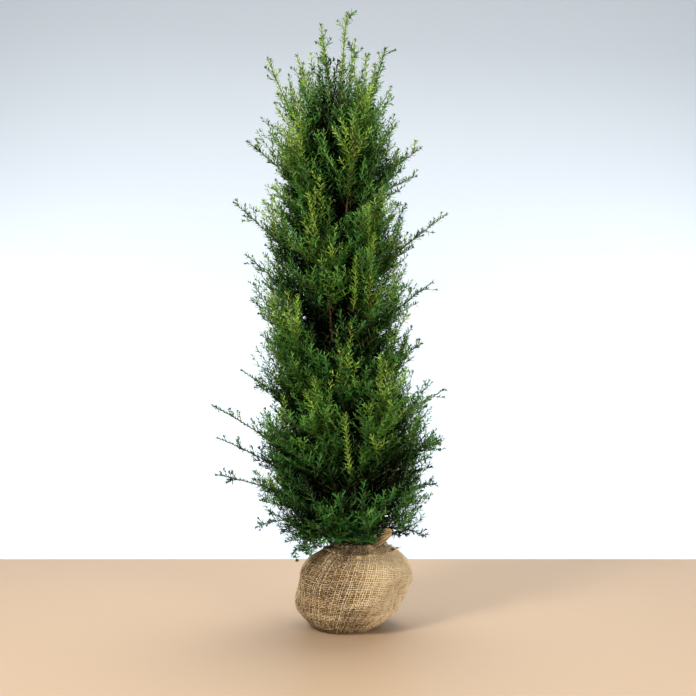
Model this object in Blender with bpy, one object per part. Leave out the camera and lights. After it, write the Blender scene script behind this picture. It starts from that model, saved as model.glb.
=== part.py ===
"""A young yew, lifted from the field with its root ball wrapped in sacking.

The plant stands on the flat underside of its root ball. One trunk rises out of the ball
and carries steep boughs; masses of needle sprays grow from the trunk and from the boughs'
tips, and close into a narrow column with loose shoots standing out of it.

Metres, +Z up. The origin is the middle of the ball's flat underside, and the plant is
seen from the front when looking along +Y, with +X to the right.
"""

import math

import bmesh
import bpy
import numpy as np
from mathutils.bvhtree import BVHTree

# ---- the root ball -----------------------------------------------------------------
BALL_RADIUS = 0.197  # half the width of the ball at its middle
BALL_MIDDLE = 0.150  # height of the widest ring
BALL_RISE = 0.178  # half the height of the whole ball, before it is cut flat
BALL_LEAN = 0.20  # the ball leans this far to +X for each metre of height
BALL_SHOULDER = 0.24  # above this height the sacking is pulled down flat
BALL_TOP = 0.298  # the level where the trunk comes out
SHOULDER_PRESS = 0.72
LUMP = 0.0045  # height of the lumps under the sacking
LUMP_WAVES = (3, 5)  # how many go round the ball, in the two sets that cross
LUMP_SHARE = 0.7  # height of the second set beside the first
LUMP_TURNS = (9.0, -6.0)  # how far each set winds round, in radians from the middle to the top
LUMP_START = 1.3
BULGE = (0.014, 0.55, 0.215, 0.045)  # the fold at the right: height, half width in radians, level, spread
PLEATS = 11  # gathers drawn in towards the trunk
PLEAT_DEPTH = 0.005
PLEAT_TURN = 2.0
PLEAT_SPAN = (0.45, 0.4)  # where they start, and over what they deepen, as shares of the ball's rise
DRAPE = 0.0030  # height of the slack folds down the sides
DRAPE_WAVES = 7
DRAPE_DRIFT = 3.0  # radians by which they are unevenly spaced
DRAPE_TURN = 4.0
DRAPE_SPAN = (-0.6, 0.8)
CREASE = (0.0055, 0.075)  # the long crease that runs up the front to the right: height, half width in radians
CREASE_AZIMUTH = -0.35  # where it crosses the level below
CREASE_LEVEL = 0.20
CREASE_TURN = 1.9  # radians round for each metre up
CREASE_SPAN = (-0.35, 0.5)
HOLLOW = (0.0035, 0.16, 0.09)  # the hollow beside the crease: depth, how far round from it, half width
BALL_SECTORS = 40
BALL_RINGS = 19

# ---- the knot of sacking -----------------------------------------------------------
KNOT_FOOT = (0.082, -0.052, 0.262)
KNOT_TIP = (0.166, -0.094, 0.362)
KNOT_WAIST = 0.010
KNOT_HEAD = 0.017
KNOT_SPREAD = 0.012  # how much wider it is where it leaves the ball
KNOT_SPREAD_SHARE = 0.35  # the share of its length over which it narrows to the waist
KNOT_HEAD_SHARE = 0.78  # the share of its length that the head would take, if it came to a point
KNOT_ARCH = 0.12
KNOT_TWIST = 0.30  # turn from ring to ring, in sides
KNOT_FLUTE = 0.16  # depth of its two folds beside its radius
KNOT_SIDES = 10
KNOT_RINGS = 10
KNOT_LIFT = 0.0008  # it ends this far above the ball

# ---- the trunk ---------------------------------------------------------------------
TRUNK_TOP = 1.845  # where the trunk ends in its leading shoots
TRUNK_FOOT_RADIUS = 0.0215
TRUNK_TIP_RADIUS = 0.0045
ROOT_FLARE = 0.012  # how much wider the trunk is where it meets the ball
FLARE_HEIGHT = 0.05
TRUNK_FOOT_X = 0.012
TRUNK_LEAN = -0.036  # sideways shift of the trunk from its foot to its middle
TRUNK_LEAN_SHARE = 0.55  # the share of its height over which it leans
TRUNK_SWAY = 0.007
TRUNK_SWAY_TURNS = (9.0, 7.0)  # radians of its sideways and its front-to-back sway, foot to top
TRUNK_SWAY_START = 0.6
TRUNK_SWAY_EASE = 4.0  # it sways fully above one part in this many of its height
TRUNK_TAPER = 0.85  # below 1 it thins faster at first
TRUNK_POINTS = 22

# ---- the crown ---------------------------------------------------------------------
# height, radius of the closed part of the crown
CROWN_PROFILE = (
    (0.27, 0.120),
    (0.42, 0.235),
    (0.62, 0.262),
    (1.05, 0.224),
    (1.50, 0.212),
    (1.74, 0.184),
    (1.88, 0.148),
    (1.99, 0.104),
    (2.08, 0.058),
    (2.15, 0.000),
)
# the furthest shoots at either side: reach from the middle, height of the tip
LEFT_TIPS = (
    (0.320, 0.346),
    (0.446, 0.558),
    (0.457, 0.673),
    (0.454, 0.799),
    (0.374, 0.918),
    (0.328, 1.170),
    (0.364, 1.346),
    (0.392, 1.519),
    (0.353, 1.757),
)
RIGHT_TIPS = (
    (0.288, 0.331),
    (0.338, 0.500),
    (0.342, 0.670),
    (0.367, 0.846),
    (0.274, 1.015),
    (0.320, 1.238),
    (0.356, 1.465),
    (0.274, 1.721),
)
SIDE_SWING = 18.0  # degrees that side shoots turn towards the front or the back
SIDE_SWING_LEAST = 0.6  # the share of it that every one turns, and how the rest comes and goes
SIDE_SWING_DRIFT = 2.4
# tip height -> rise of the stem for each metre of reach, and how far it arches
RISE = ((0.33, 0.56, 0.80, 1.20), (0.03, 0.44, 0.72, 0.90))
ARCH = ((0.33, 0.56, 0.80), (0.26, 0.11, 0.06))
# masses that fill the front and the back, in rings of four: front left and right, back right and left
RING_FEET = (
    (0.385, 0.430, 0.410, 0.480),
    (0.660, 0.810, 0.720, 0.820),
    (0.985, 1.100, 1.045, 1.210),
    (1.300, 1.420, 1.360, 1.530),
)
RING_ANGLES = (28.0, 45.0)  # azimuth from the front or back, by turns
RING_SKEW = 9.0  # degrees that a ring is turned, to either side by turns
RING_RISE = 0.40
RING_ARCH = 0.05
RING_PROUD = 0.030  # how far their tips stand out of the crown
# the lowest masses, which arch over the ball: azimuth, reach, height of the tip
SKIRTS = (
    (-146.0, 0.215, 0.282),
    (-62.0, 0.215, 0.340),
    (58.0, 0.215, 0.330),
    (136.0, 0.225, 0.300),
    (-104.0, 0.200, 0.352),
)
LOWEST_FOOT = 0.342
# leading shoots: tip sideways, tip height, foot height, azimuth of the foot
LEADERS = (
    (0.010, 2.207, TRUNK_TOP, 0.0),
    (-0.083, 2.167, 1.765, 145.0),
    (0.040, 2.113, 1.720, 48.0),
    (0.149, 2.070, 1.590, -20.0),
    (-0.169, 2.045, 1.640, 198.0),
    (-0.065, 2.045, 1.690, 262.0),
    (-0.275, 2.045, 1.490, 168.0),
)
LEADER_ARCH = -0.04  # they bow outwards and then turn up
LEADER_DEPTH = 0.5  # how far they lean to the front or back beside their lean to a side

# ---- boughs ------------------------------------------------------------------------
BOUGH_FEET = (0.400, 0.775, 1.150)  # heights where they leave the trunk
BOUGH_ANGLES = (-84.0, -98.0, -76.0)  # azimuth of the front ones; the back ones mirror it
BOUGH_RISE = 0.31
BOUGH_REACH = 0.118
BOUGH_KNEE = (0.62, 0.34)  # where they turn up, as shares of their reach and rise
BOUGH_BACK_RAISED = 0.120  # the back boughs start this much higher
BOUGH_FOOT_RADIUS = 0.0075
BOUGH_TIP_RADIUS = 0.0042
BOUGH_POINTS = 7
BOUGH_SIDES = 6
TIP_MASS_RISE = 0.22  # height that the mass on a bough's tip adds to it
TIP_MASS_PROUD = 0.012
TIP_MASS_ARCH = 0.03

# ---- foliage -----------------------------------------------------------------------
SEED = 11
STEM_RADIUS = 0.0040
STEM_TIP_RADIUS = 0.0016
NEEDLE = 0.030  # length of a tooth, which stands for a tuft of needles
BRUSH_SIDES = 6
BRUSH_STEP = 0.052  # spacing of the rings of tufts
BRUSH_REACH = 0.115  # the longest tufts of the inner needles
BRUSH_PROUD = 0.012  # they may stand this far out of the closed crown
BRUSH_CORE = 0.42  # share of its tufts' reach that is closed core
BRUSH_LEAN = 1.0  # forward slope of the tufts
BRUSH_TAPER = 0.14  # the share of a stem over which the tufts reach their length
BRUSH_UNEVEN = (0.80, 1.0)
BRUSH_LEAST = 0.30  # the brush takes at least this share of its stem
TIP_SUNK = 0.045  # the shoot at the end of a stem starts this deep in the brush
BRUSH_FILLS = (1.0, 0.88, 0.76, 0.62, 0.48)  # tried by turns, until a brush touches nothing
FINE_STEP = 0.005  # spacing along rays and along the line that a stem is cut from
SPRAY_ANGLE = 52.0  # degrees between a spray and its stem
SPRAY_UNEVEN = (0.85, 1.15)
SPRAY_LENGTH = (0.070, 0.200)
SPRAY_PROUD = (0.015, 0.075)  # how far a side spray stands out of the closed crown
SPRAY_BURIED = 0.035  # sprays that would end deeper than this are left out
SPRAY_APART = 0.055  # least distance between two sprays' tips
SPRAY_ARCH = 0.06
SPRAY_SHRINKS = (1.0, 0.88, 0.76, 0.64)  # tried by turns, until its teeth stay inside its mass's space
SPRAY_PLACES = (0.28, 0.90)  # where along a stem they may branch off
GOLDEN_SHARE = 0.618
SPRAY_TRIES = 22
SPRAYS_KEPT = 3
SPRAY_CORE = 0.0045
SPRAY_CORE_TAPER = 0.6  # share of it lost by the tip
SPRAY_TOOTH_START = 0.2  # share of a spray over which its teeth reach their length
SPRAY_TOOTH_TAPER = 0.35
GOLDEN_ANGLE = 137.508
LEAN = 0.75  # forward slope of the teeth
STEM_STEP = 0.046  # spacing of the points that a stem's line is drawn through
SPRAY_STEP = 0.0195  # spacing of the teeth along a spray

GAP = 0.0003  # clearance between pieces that touch
LIMB_ROOM = 0.004  # foliage stays this clear of a limb
CELL_ROOM = 0.004  # and of the foliage of the next mass
SEAT_SPAN = 0.035  # a foot on the trunk is fitted to this much of it, up and down
SEAT_POINTS = 9
SAMPLE = 0.012  # spacing of the points that stand for a stem in distance tests


# ---- small helpers -----------------------------------------------------------------
def unit(v):
    return v / np.linalg.norm(v)


def heading(azimuth):
    """The level direction at this azimuth, in degrees from +X towards +Y."""
    a = math.radians(azimuth)
    return np.array((math.cos(a), math.sin(a), 0.0))


def smooth(t):
    t = np.clip(t, 0.0, 1.0)
    return t * t * (3.0 - 2.0 * t)


def bend(start, end, arch, count):
    """Points of a quadratic curve from start to end that arches upwards."""
    start, end = np.asarray(start), np.asarray(end)
    middle = (start + end) / 2
    middle = middle + np.array((0, 0, arch * np.linalg.norm(end - start)))
    t = np.linspace(0.0, 1.0, count)[:, None]
    return (1 - t) ** 2 * start + 2 * t * (1 - t) * middle + t * t * end


def respaced(line, spacing):
    """The same line with evenly spaced points, at about this spacing."""
    lengths = np.linalg.norm(np.diff(line, axis=0), axis=1)
    along = np.concatenate(([0.0], np.cumsum(lengths)))
    at = np.linspace(0.0, along[-1], max(4, int(round(along[-1] / spacing)) + 1))
    return np.column_stack([np.interp(at, along, line[:, k]) for k in range(3)])


def frames(path):
    """A forward, a side and an upper direction at each point, turned as little as possible."""
    forward = np.gradient(path, axis=0)
    forward /= np.linalg.norm(forward, axis=1)[:, None]
    helper = np.array((0.0, 0.0, 1.0)) if abs(forward[0][2]) < 0.9 else np.array((0.0, 1.0, 0.0))
    side = unit(np.cross(helper, forward[0]))
    found = []
    for direction in forward:
        side = unit(side - direction * side.dot(direction))
        found.append((direction, side, np.cross(direction, side)))
    return found


def crown_radius(height):
    heights, radii = zip(*CROWN_PROFILE)
    return np.interp(height, heights, radii)


# ---- the trunk's line --------------------------------------------------------------
TRUNK_HEIGHTS = np.linspace(BALL_TOP + GAP, TRUNK_TOP, TRUNK_POINTS)


def trunk_line():
    """Centres and radii of the trunk at TRUNK_HEIGHTS: a taper, a flare, a lean and a slight sway."""
    z = TRUNK_HEIGHTS
    up = (z - z[0]) / (z[-1] - z[0])
    sway = TRUNK_SWAY * smooth(up * TRUNK_SWAY_EASE)
    x = TRUNK_FOOT_X + TRUNK_LEAN * smooth(up / TRUNK_LEAN_SHARE) + sway * np.sin(TRUNK_SWAY_TURNS[0] * up)
    y = sway * np.sin(TRUNK_SWAY_TURNS[1] * up + TRUNK_SWAY_START)
    radius = TRUNK_FOOT_RADIUS + (TRUNK_TIP_RADIUS - TRUNK_FOOT_RADIUS) * up**TRUNK_TAPER
    radius = radius + ROOT_FLARE * np.exp(-(z - z[0]) / FLARE_HEIGHT)
    return np.column_stack((x, y, z)), radius


TRUNK_CENTRES, TRUNK_RADII = trunk_line()


def trunk_at(height):
    """Centre and radius of the trunk at one height."""
    centre = np.array([np.interp(height, TRUNK_HEIGHTS, TRUNK_CENTRES[:, k]) for k in range(3)])
    return centre, float(np.interp(height, TRUNK_HEIGHTS, TRUNK_RADII))


def trunk_seat(height, out):
    """The plane that lies against the trunk's side here, as a point and its outward direction."""
    near = [trunk_at(height + step) for step in np.linspace(-SEAT_SPAN, SEAT_SPAN, SEAT_POINTS)]
    tangent = unit(near[-1][0] - near[0][0])
    taper = (near[-1][1] - near[0][1]) / (2 * SEAT_SPAN)
    across = unit(out - tangent * out.dot(tangent))
    normal = unit(across - tangent * taper)
    skin = [centre + across * radius for centre, radius in near]
    furthest = max(skin, key=lambda point: point.dot(normal))
    middle = skin[SEAT_POINTS // 2]
    return middle + normal * (furthest - middle).dot(normal), normal


def lay_on(ring, seat, forward):
    """Slides a ring's points along their stem until they lie just clear of the seat's plane."""
    point, normal = seat
    short = GAP - (ring - point) @ normal
    return ring + forward * (short / forward.dot(normal))[:, None]


# ---- where stems and boughs run ----------------------------------------------------
def side_stems():
    """Stems of the masses at the left and the right, foot to tip."""
    stems = []
    for name, tips, azimuth in (("left", LEFT_TIPS, 180.0), ("right", RIGHT_TIPS, 0.0)):
        for number, (reach, height) in enumerate(tips):
            drift = SIDE_SWING_LEAST + (1 - SIDE_SWING_LEAST) * math.sin(SIDE_SWING_DRIFT * number)
            swing = SIDE_SWING * drift * (1 if number % 2 else -1)
            out = heading(azimuth + swing)
            foot_height = height - reach * np.interp(height, *RISE)
            tip = out * (reach / abs(out[0]))
            tip[2] = height
            arch = np.interp(height, *ARCH)
            stems.append((f"foliage_{name}_{number + 1}", trunk_seat(foot_height, out), tip, arch))
    return stems


def ring_stems():
    """Stems of the masses that fill the front and the back."""
    stems = []
    for tier, feet in enumerate(RING_FEET):
        for number, foot in enumerate(feet):
            half, turn = number // 2, 1 if number % 2 else -1
            skew = -RING_SKEW if tier % 2 else RING_SKEW
            out = heading(180.0 * half - 90.0 + turn * RING_ANGLES[(tier + half) % 2] + skew)
            height = foot + RING_RISE
            tip = trunk_at(height)[0] + out * (crown_radius(height) + RING_PROUD)
            name = f"foliage_{('front', 'back')[half]}_{2 * tier + number % 2 + 1}"
            stems.append((name, trunk_seat(foot, out), tip, RING_ARCH))
    return stems


def skirt_stems():
    """The lowest masses, which arch out and droop over the ball."""
    stems = []
    for number, (azimuth, reach, height) in enumerate(SKIRTS):
        out = heading(azimuth)
        tip = out * reach
        tip[2] = height
        foot = max(LOWEST_FOOT, height - reach * np.interp(height, *RISE))
        stems.append((f"foliage_low_{number + 1}", trunk_seat(foot, out), tip, np.interp(height, *ARCH)))
    return stems


def leader_stems():
    """The leading shoots. The first grows on from the trunk's own tip."""
    stems = []
    for number, (side, height, foot_height, azimuth) in enumerate(LEADERS):
        centre = trunk_at(foot_height)[0]
        out = heading(azimuth)
        seat = trunk_seat(foot_height, out)
        if number == 0:
            seat = (TRUNK_CENTRES[-1], unit(TRUNK_CENTRES[-1] - TRUNK_CENTRES[-2]))
        tip = np.array((side, centre[1] + LEADER_DEPTH * abs(side - centre[0]) * out[1], height))
        stems.append((f"foliage_leader_{number + 1}", seat, tip, LEADER_ARCH if number else 0.0))
    return stems


def bough_lines():
    """Where each bough starts and ends, and the way it leans out."""
    boughs = []
    for storey, foot_height in enumerate(BOUGH_FEET):
        for place, turn, raised in (("front", 1, 0.0), ("back", -1, BOUGH_BACK_RAISED)):
            out = heading(turn * BOUGH_ANGLES[storey])
            foot = foot_height + raised
            tip = trunk_at(foot + BOUGH_RISE)[0] + out * BOUGH_REACH
            boughs.append((f"bough_{place}_{storey + 1}", trunk_seat(foot, out), out, tip))
    return boughs


def stem_path(seat, tip, arch):
    """Points of a stem that starts at its seat and runs to its tip."""
    start = seat[0] + seat[1] * GAP
    count = max(5, int(round(np.linalg.norm(tip - start) / STEM_STEP)) + 1)
    return bend(start, tip, arch, count)


def steep_path(seat, out, tip, count):
    """Points of a bough: it leaves the trunk at a slant and then turns up."""
    start = seat[0] + seat[1] * GAP
    knee = start + out * BOUGH_KNEE[0] * BOUGH_REACH + np.array((0.0, 0.0, BOUGH_KNEE[1] * BOUGH_RISE))
    t = np.linspace(0.0, 1.0, count)[:, None]
    return (1 - t) ** 2 * start + 2 * t * (1 - t) * knee + t * t * tip


# ---- meshes ------------------------------------------------------------------------
def material(name, colour, roughness):
    made = bpy.data.materials.new(name)
    made.use_nodes = True
    shader = made.node_tree.nodes["Principled BSDF"]
    shader.inputs["Base Color"].default_value = (*colour, 1.0)
    shader.inputs["Roughness"].default_value = roughness
    shader.inputs["Metallic"].default_value = 0.0
    made.diffuse_color = (*colour, 1.0)
    return made


def new_object(name, mesh, collection, finish=None):
    made = bpy.data.objects.new(name, mesh)
    collection.objects.link(made)
    if finish:
        mesh.materials.append(finish)
    return made


def mesh_from(name, points, faces):
    mesh = bpy.data.meshes.new(name)
    mesh.from_pydata([tuple(p) for p in points], [], faces)
    mesh.update()
    return mesh


def loft(name, rings, apex=None):
    """Joins rings of equally many points into one closed skin, with quads cut across their valleys."""
    sides = len(rings[0])
    points = [p for ring in rings for p in ring]
    faces = [tuple(range(sides))[::-1]]
    for k in range(len(rings) - 1):
        for j in range(sides):
            a, b = k * sides + j, k * sides + (j + 1) % sides
            c, d = b + sides, a + sides
            faces += [(a, b, d), (b, c, d)] if (j + k) % 2 == 0 else [(a, b, c), (a, c, d)]
    last = (len(rings) - 1) * sides
    if apex is None:
        faces.append(tuple(range(last, last + sides)))
    else:
        points.append(apex)
        faces += [(last + j, last + (j + 1) % sides, len(points) - 1) for j in range(sides)]
    return mesh_from(name, points, faces)


def spray_profile(path):
    """Radius of a spray's slim core and length of its teeth, which shorten towards the tip."""
    along = np.linspace(0.0, 1.0, len(path))
    core = SPRAY_CORE * (1.0 - SPRAY_CORE_TAPER * along)
    return core, NEEDLE * smooth(along / SPRAY_TOOTH_START) * (1.0 - SPRAY_TOOTH_TAPER * along)


def toothed_rings(path, core, tooth):
    """Three-sided rings with one forward-leaning tooth a ring, turning from corner to corner."""
    rings = []
    around = np.arange(3) * (2 * math.pi / 3)
    for k, (forward, side, upper) in enumerate(frames(path)[:-1]):
        out = np.cos(around)[:, None] * side + np.sin(around)[:, None] * upper
        length = tooth[k] * (np.arange(3) == (2 * k) % 3) * (k > 0)
        rings.append(path[k] + out * (core[k] + length)[:, None] + forward * (LEAN * length)[:, None])
    return rings


def shoot(name, path):
    """A spray of needles along a path."""
    return loft(name, toothed_rings(path, *spray_profile(path)), apex=path[-1])


def limb(name, path, radii, sides, seat):
    """A bough: a taper whose foot lies against the trunk's side and whose tip is cut square."""
    rings = []
    for k, (forward, side, upper) in enumerate(frames(path)):
        angles = (np.arange(sides) + 0.5) * (2 * math.pi / sides)
        ring = path[k] + radii[k] * (np.cos(angles)[:, None] * side + np.sin(angles)[:, None] * upper)
        if k == 0:
            ring = lay_on(ring, seat, forward)
        rings.append(ring)
    return loft(name, rings)


# ---- keeping each mass to its own space --------------------------------------------
def sampled(path, spacing=SAMPLE):
    """Points along a line, evenly about this far apart."""
    return respaced(path, spacing)


def nearest(points, line):
    """Distance from each point to the nearest point of a sampled line, and which that is."""
    apart = np.linalg.norm(points[:, None, :] - line[None, :, :], axis=2)
    return apart.min(axis=1), apart.argmin(axis=1)


class Space:
    """Tells points in a mass's own space: nearer its stem than any other, and clear of the limbs."""

    def __init__(self, stems, limbs):
        self.lines = {name: sampled(path) for name, path in stems.items()}
        self.limbs = []
        for path, radii in limbs:
            line = sampled(path)
            at = np.linspace(0, 1, len(line))
            self.limbs.append((line, np.interp(at, np.linspace(0, 1, len(radii)), radii)))

    def limb_room(self, points):
        room = np.full(len(points), np.inf)
        for line, radii in self.limbs:
            distance, index = nearest(points, line)
            room = np.minimum(room, distance - radii[index])
        return room

    def cell_room(self, name, points):
        """How much nearer these points are to their own stem than to the next one."""
        own, _ = nearest(points, self.lines[name])
        room = np.full(len(points), np.inf)
        for other, line in self.lines.items():
            if other != name:
                room = np.minimum(room, nearest(points, line)[0] - own)
        return room

    def room(self, name, points):
        """Positive inside the mass's own space, clear of the limbs and of the root ball."""
        floor = points[:, 2] - ball_surface(points)
        clear = np.minimum(self.limb_room(points), floor) - LIMB_ROOM
        return np.minimum(clear, self.cell_room(name, points) - 2 * CELL_ROOM)


def ball_surface(points):
    """Height of the top of the root ball under each point, or far below where there is none."""
    across = np.hypot(points[:, 0] - BALL_LEAN * BALL_TOP, points[:, 1])
    reach = BALL_RADIUS + BULGE[0] + LUMP + DRAPE + CREASE[0]
    inside = np.clip(1.0 - (across / reach) ** 2, 0.0, 1.0)
    top = np.minimum(BALL_TOP, BALL_MIDDLE + BALL_RISE * np.sqrt(inside)) + 2 * LUMP
    return np.where(inside > 0.0, top, -1.0)


# ---- the masses --------------------------------------------------------------------
def depth_in_crown(points):
    """How far points lie under the surface of the closed crown."""
    middle = np.array([trunk_at(z)[0] for z in points[:, 2]])
    return crown_radius(points[:, 2]) - np.hypot(*(points - middle)[:, :2].T)


def reach_inside(name, starts, directions, longest, space, proud):
    """How far each ray runs before it leaves the mass's own space, and before it leaves the crown."""
    steps = np.arange(FINE_STEP, longest + FINE_STEP, FINE_STEP)
    points = (starts[:, None, :] + steps[None, :, None] * directions[:, None, :]).reshape(-1, 3)
    own = space.room(name, points).reshape(len(starts), -1) > 0.0
    inner = (depth_in_crown(points) > -proud).reshape(len(starts), -1)
    to_edge = np.cumprod(own, axis=1).sum(axis=1) * FINE_STEP
    to_skin = np.cumprod(inner, axis=1).sum(axis=1) * FINE_STEP
    return to_edge, to_skin


def stem_brush(name, path, space, seat, foot_radius, fill, rng):
    """The stem in its dense inner needles: rings of forward-leaning tufts that fill the mass's space."""
    rings = frames(path)
    slope = math.hypot(1, BRUSH_LEAN)
    around = (np.arange(BRUSH_SIDES) + rng.random()) * (2 * math.pi / BRUSH_SIDES)
    outs = [np.cos(around)[:, None] * side + np.sin(around)[:, None] * upper for _, side, upper in rings]
    starts = np.repeat(path, BRUSH_SIDES, axis=0)
    directions = np.concatenate([out + BRUSH_LEAN * ring[0] for out, ring in zip(outs, rings)]) / slope
    to_edge, to_skin = reach_inside(name, starts, directions, BRUSH_REACH, space, BRUSH_PROUD)
    wanted = np.minimum(to_edge, np.maximum(to_skin, NEEDLE)).reshape(len(path), -1)
    along = np.linspace(0.0, 1.0, len(path))
    wood = foot_radius + (STEM_TIP_RADIUS - foot_radius) * along
    layers = []
    for k, (forward, _, _) in enumerate(rings[:-1]):
        tuft = (np.arange(BRUSH_SIDES) + k) % 2 == 0
        full = fill * wanted[k] * smooth(along[k] / BRUSH_TAPER) * rng.uniform(*BRUSH_UNEVEN, BRUSH_SIDES)
        length = np.maximum(full * np.where(tuft, 1.0, BRUSH_CORE) / slope, wood[k])
        ring = path[k] + outs[k] * length[:, None] + forward * (BRUSH_LEAN * length * (k > 0))[:, None]
        layers.append(lay_on(ring, seat, forward) if k == 0 else ring)
    return loft(name, layers, apex=path[-1])


def split_stem(path):
    """Cuts a stem where it leaves the closed crown: the line of its brush, and the shoot beyond, if any."""
    fine = sampled(path, FINE_STEP)
    outside = depth_in_crown(fine) < 0.0
    leave = int(np.argmax(outside)) if outside.any() else len(fine) - 1
    leave = int(np.clip(leave, BRUSH_LEAST * len(fine), len(fine) - 1))
    brush = respaced(fine[: leave + 1], BRUSH_STEP)
    if (len(fine) - leave) * FINE_STEP < 2 * SPRAY_STEP:
        return respaced(fine, BRUSH_STEP), None
    start = max(2, leave - int(TIP_SUNK / FINE_STEP))
    return brush, respaced(fine[start:], SPRAY_STEP)


def side_sprays(name, path, space, rng):
    """Sprays that branch off the stem and come out of the crown without leaving the mass's space."""
    fine = sampled(path)
    rings = frames(fine)
    turn = rng.uniform(0.0, 360.0)
    kept = []
    for number in range(SPRAY_TRIES):
        share = SPRAY_PLACES[0] + (SPRAY_PLACES[1] - SPRAY_PLACES[0]) * ((0.5 + GOLDEN_SHARE * number) % 1.0)
        start = fine[int(share * (len(fine) - 1))]
        forward, side, upper = rings[int(share * (len(fine) - 1))]
        around = math.radians(turn + number * GOLDEN_ANGLE)
        slant = math.radians(SPRAY_ANGLE * rng.uniform(*SPRAY_UNEVEN))
        out = math.cos(around) * side + math.sin(around) * upper
        direction = unit(math.cos(slant) * forward + math.sin(slant) * out)
        proud = rng.uniform(*SPRAY_PROUD)
        to_edge, to_skin = reach_inside(name, start[None], direction[None], SPRAY_LENGTH[1], space, proud)
        length = min(to_edge[0], to_skin[0])
        end = start + direction * length
        buried = to_edge[0] < to_skin[0] and depth_in_crown(end[None])[0] > SPRAY_BURIED
        crowded = any(np.linalg.norm(end - other[-1]) < SPRAY_APART for other in kept)
        if length < SPRAY_LENGTH[0] or buried or crowded:
            continue
        spray = fitted(name, start, direction, length, space)
        if spray is not None:
            kept.append(spray)
        if len(kept) == SPRAYS_KEPT:
            break
    return kept


def fitted(name, start, direction, length, space):
    """The path of a spray, shortened until its teeth stay inside the mass's space, or None."""
    for shrink in SPRAY_SHRINKS:
        reach = length * shrink
        count = max(5, int(round(reach / SPRAY_STEP)) + 1)
        path = bend(start, start + direction * reach, SPRAY_ARCH, count)
        corners = np.concatenate(toothed_rings(path, *spray_profile(path))[2:])
        if reach > SPRAY_LENGTH[0] and space.room(name, corners).min() > 0.0:
            return path
    return None


def apply_modifiers(target):
    """Puts the evaluated mesh in the object's place."""
    graph = bpy.context.evaluated_depsgraph_get()
    made = bpy.data.meshes.new_from_object(target.evaluated_get(graph))
    target.modifiers.clear()
    old, target.data = target.data, made
    bpy.data.meshes.remove(old)


def closed_shell(mesh):
    """Merges coincident points and keeps only the largest connected shell."""
    work = bmesh.new()
    work.from_mesh(mesh)
    bmesh.ops.remove_doubles(work, verts=work.verts, dist=1e-6)
    bmesh.ops.dissolve_degenerate(work, edges=work.edges, dist=1e-6)
    bmesh.ops.triangulate(work, faces=work.faces)
    todo, shells = set(work.verts), []
    while todo:
        grow, shell = [todo.pop()], []
        while grow:
            vertex = grow.pop()
            shell.append(vertex)
            for edge in vertex.link_edges:
                other = edge.other_vert(vertex)
                if other in todo:
                    todo.remove(other)
                    grow.append(other)
        shells.append(shell)
    shells.sort(key=len)
    for scrap in shells[:-1]:
        bmesh.ops.delete(work, geom=scrap, context="VERTS")
    is_closed = all(edge.is_manifold for edge in work.edges)
    work.to_mesh(mesh)
    work.free()
    return is_closed


def joined(target, sprays, plain, solver):
    """Unites the sprays with the stem, and says whether one closed body came of it."""
    old, target.data = target.data, plain.copy()
    if old != plain:
        bpy.data.meshes.remove(old)
    join = target.modifiers.new("join", "BOOLEAN")
    join.operation = "UNION"
    join.operand_type = "COLLECTION"
    join.collection = sprays
    join.solver = solver
    apply_modifiers(target)
    return closed_shell(target.data)


def skin_tree(mesh):
    return BVHTree.FromPolygons([v.co[:] for v in mesh.vertices], [p.vertices[:] for p in mesh.polygons])


def is_clear(mesh, neighbours):
    """Whether a mesh touches none of the finished pieces."""
    tree = skin_tree(mesh)
    return not any(tree.overlap(other) for other in neighbours)


def foliage_mass(name, path, space, seat, foot_radius, neighbours, parts, finish, seed):
    """One mass: a stem in its inner needles, with sprays fused on. Sprays that spoil it are left out."""
    brush, tip = split_stem(path)
    for fill in BRUSH_FILLS:
        plain = stem_brush(name, brush, space, seat, foot_radius, fill, np.random.default_rng(seed))
        if is_clear(plain, neighbours):
            break
    stem = new_object(name, plain, parts)
    sprays = bpy.data.collections.new(f"{name}_sprays")
    bpy.context.scene.collection.children.link(sprays)
    paths = ([] if tip is None else [tip]) + side_sprays(name, path, space, np.random.default_rng(seed + 1))
    for number, line in enumerate(paths):
        mesh = shoot(f"{name}_spray_{number}", line)
        if is_clear(mesh, neighbours):
            new_object(mesh.name, mesh, sprays)
    while sprays.objects:
        if joined(stem, sprays, plain, "EXACT") or joined(stem, sprays, plain, "MANIFOLD"):
            break
        bpy.data.objects.remove(sprays.objects[-1])
    if not sprays.objects:
        stem.data = plain
    for spray in list(sprays.objects):
        bpy.data.objects.remove(spray)
    bpy.data.collections.remove(sprays)
    stem.data.materials.clear()
    stem.data.materials.append(finish)
    neighbours.append(skin_tree(stem.data))


# ---- the root ball and its knot ----------------------------------------------------
def wrapped(angle):
    return math.atan2(math.sin(angle), math.cos(angle))


def crease_azimuth(level):
    return CREASE_AZIMUTH + CREASE_TURN * (level - CREASE_LEVEL)


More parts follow.
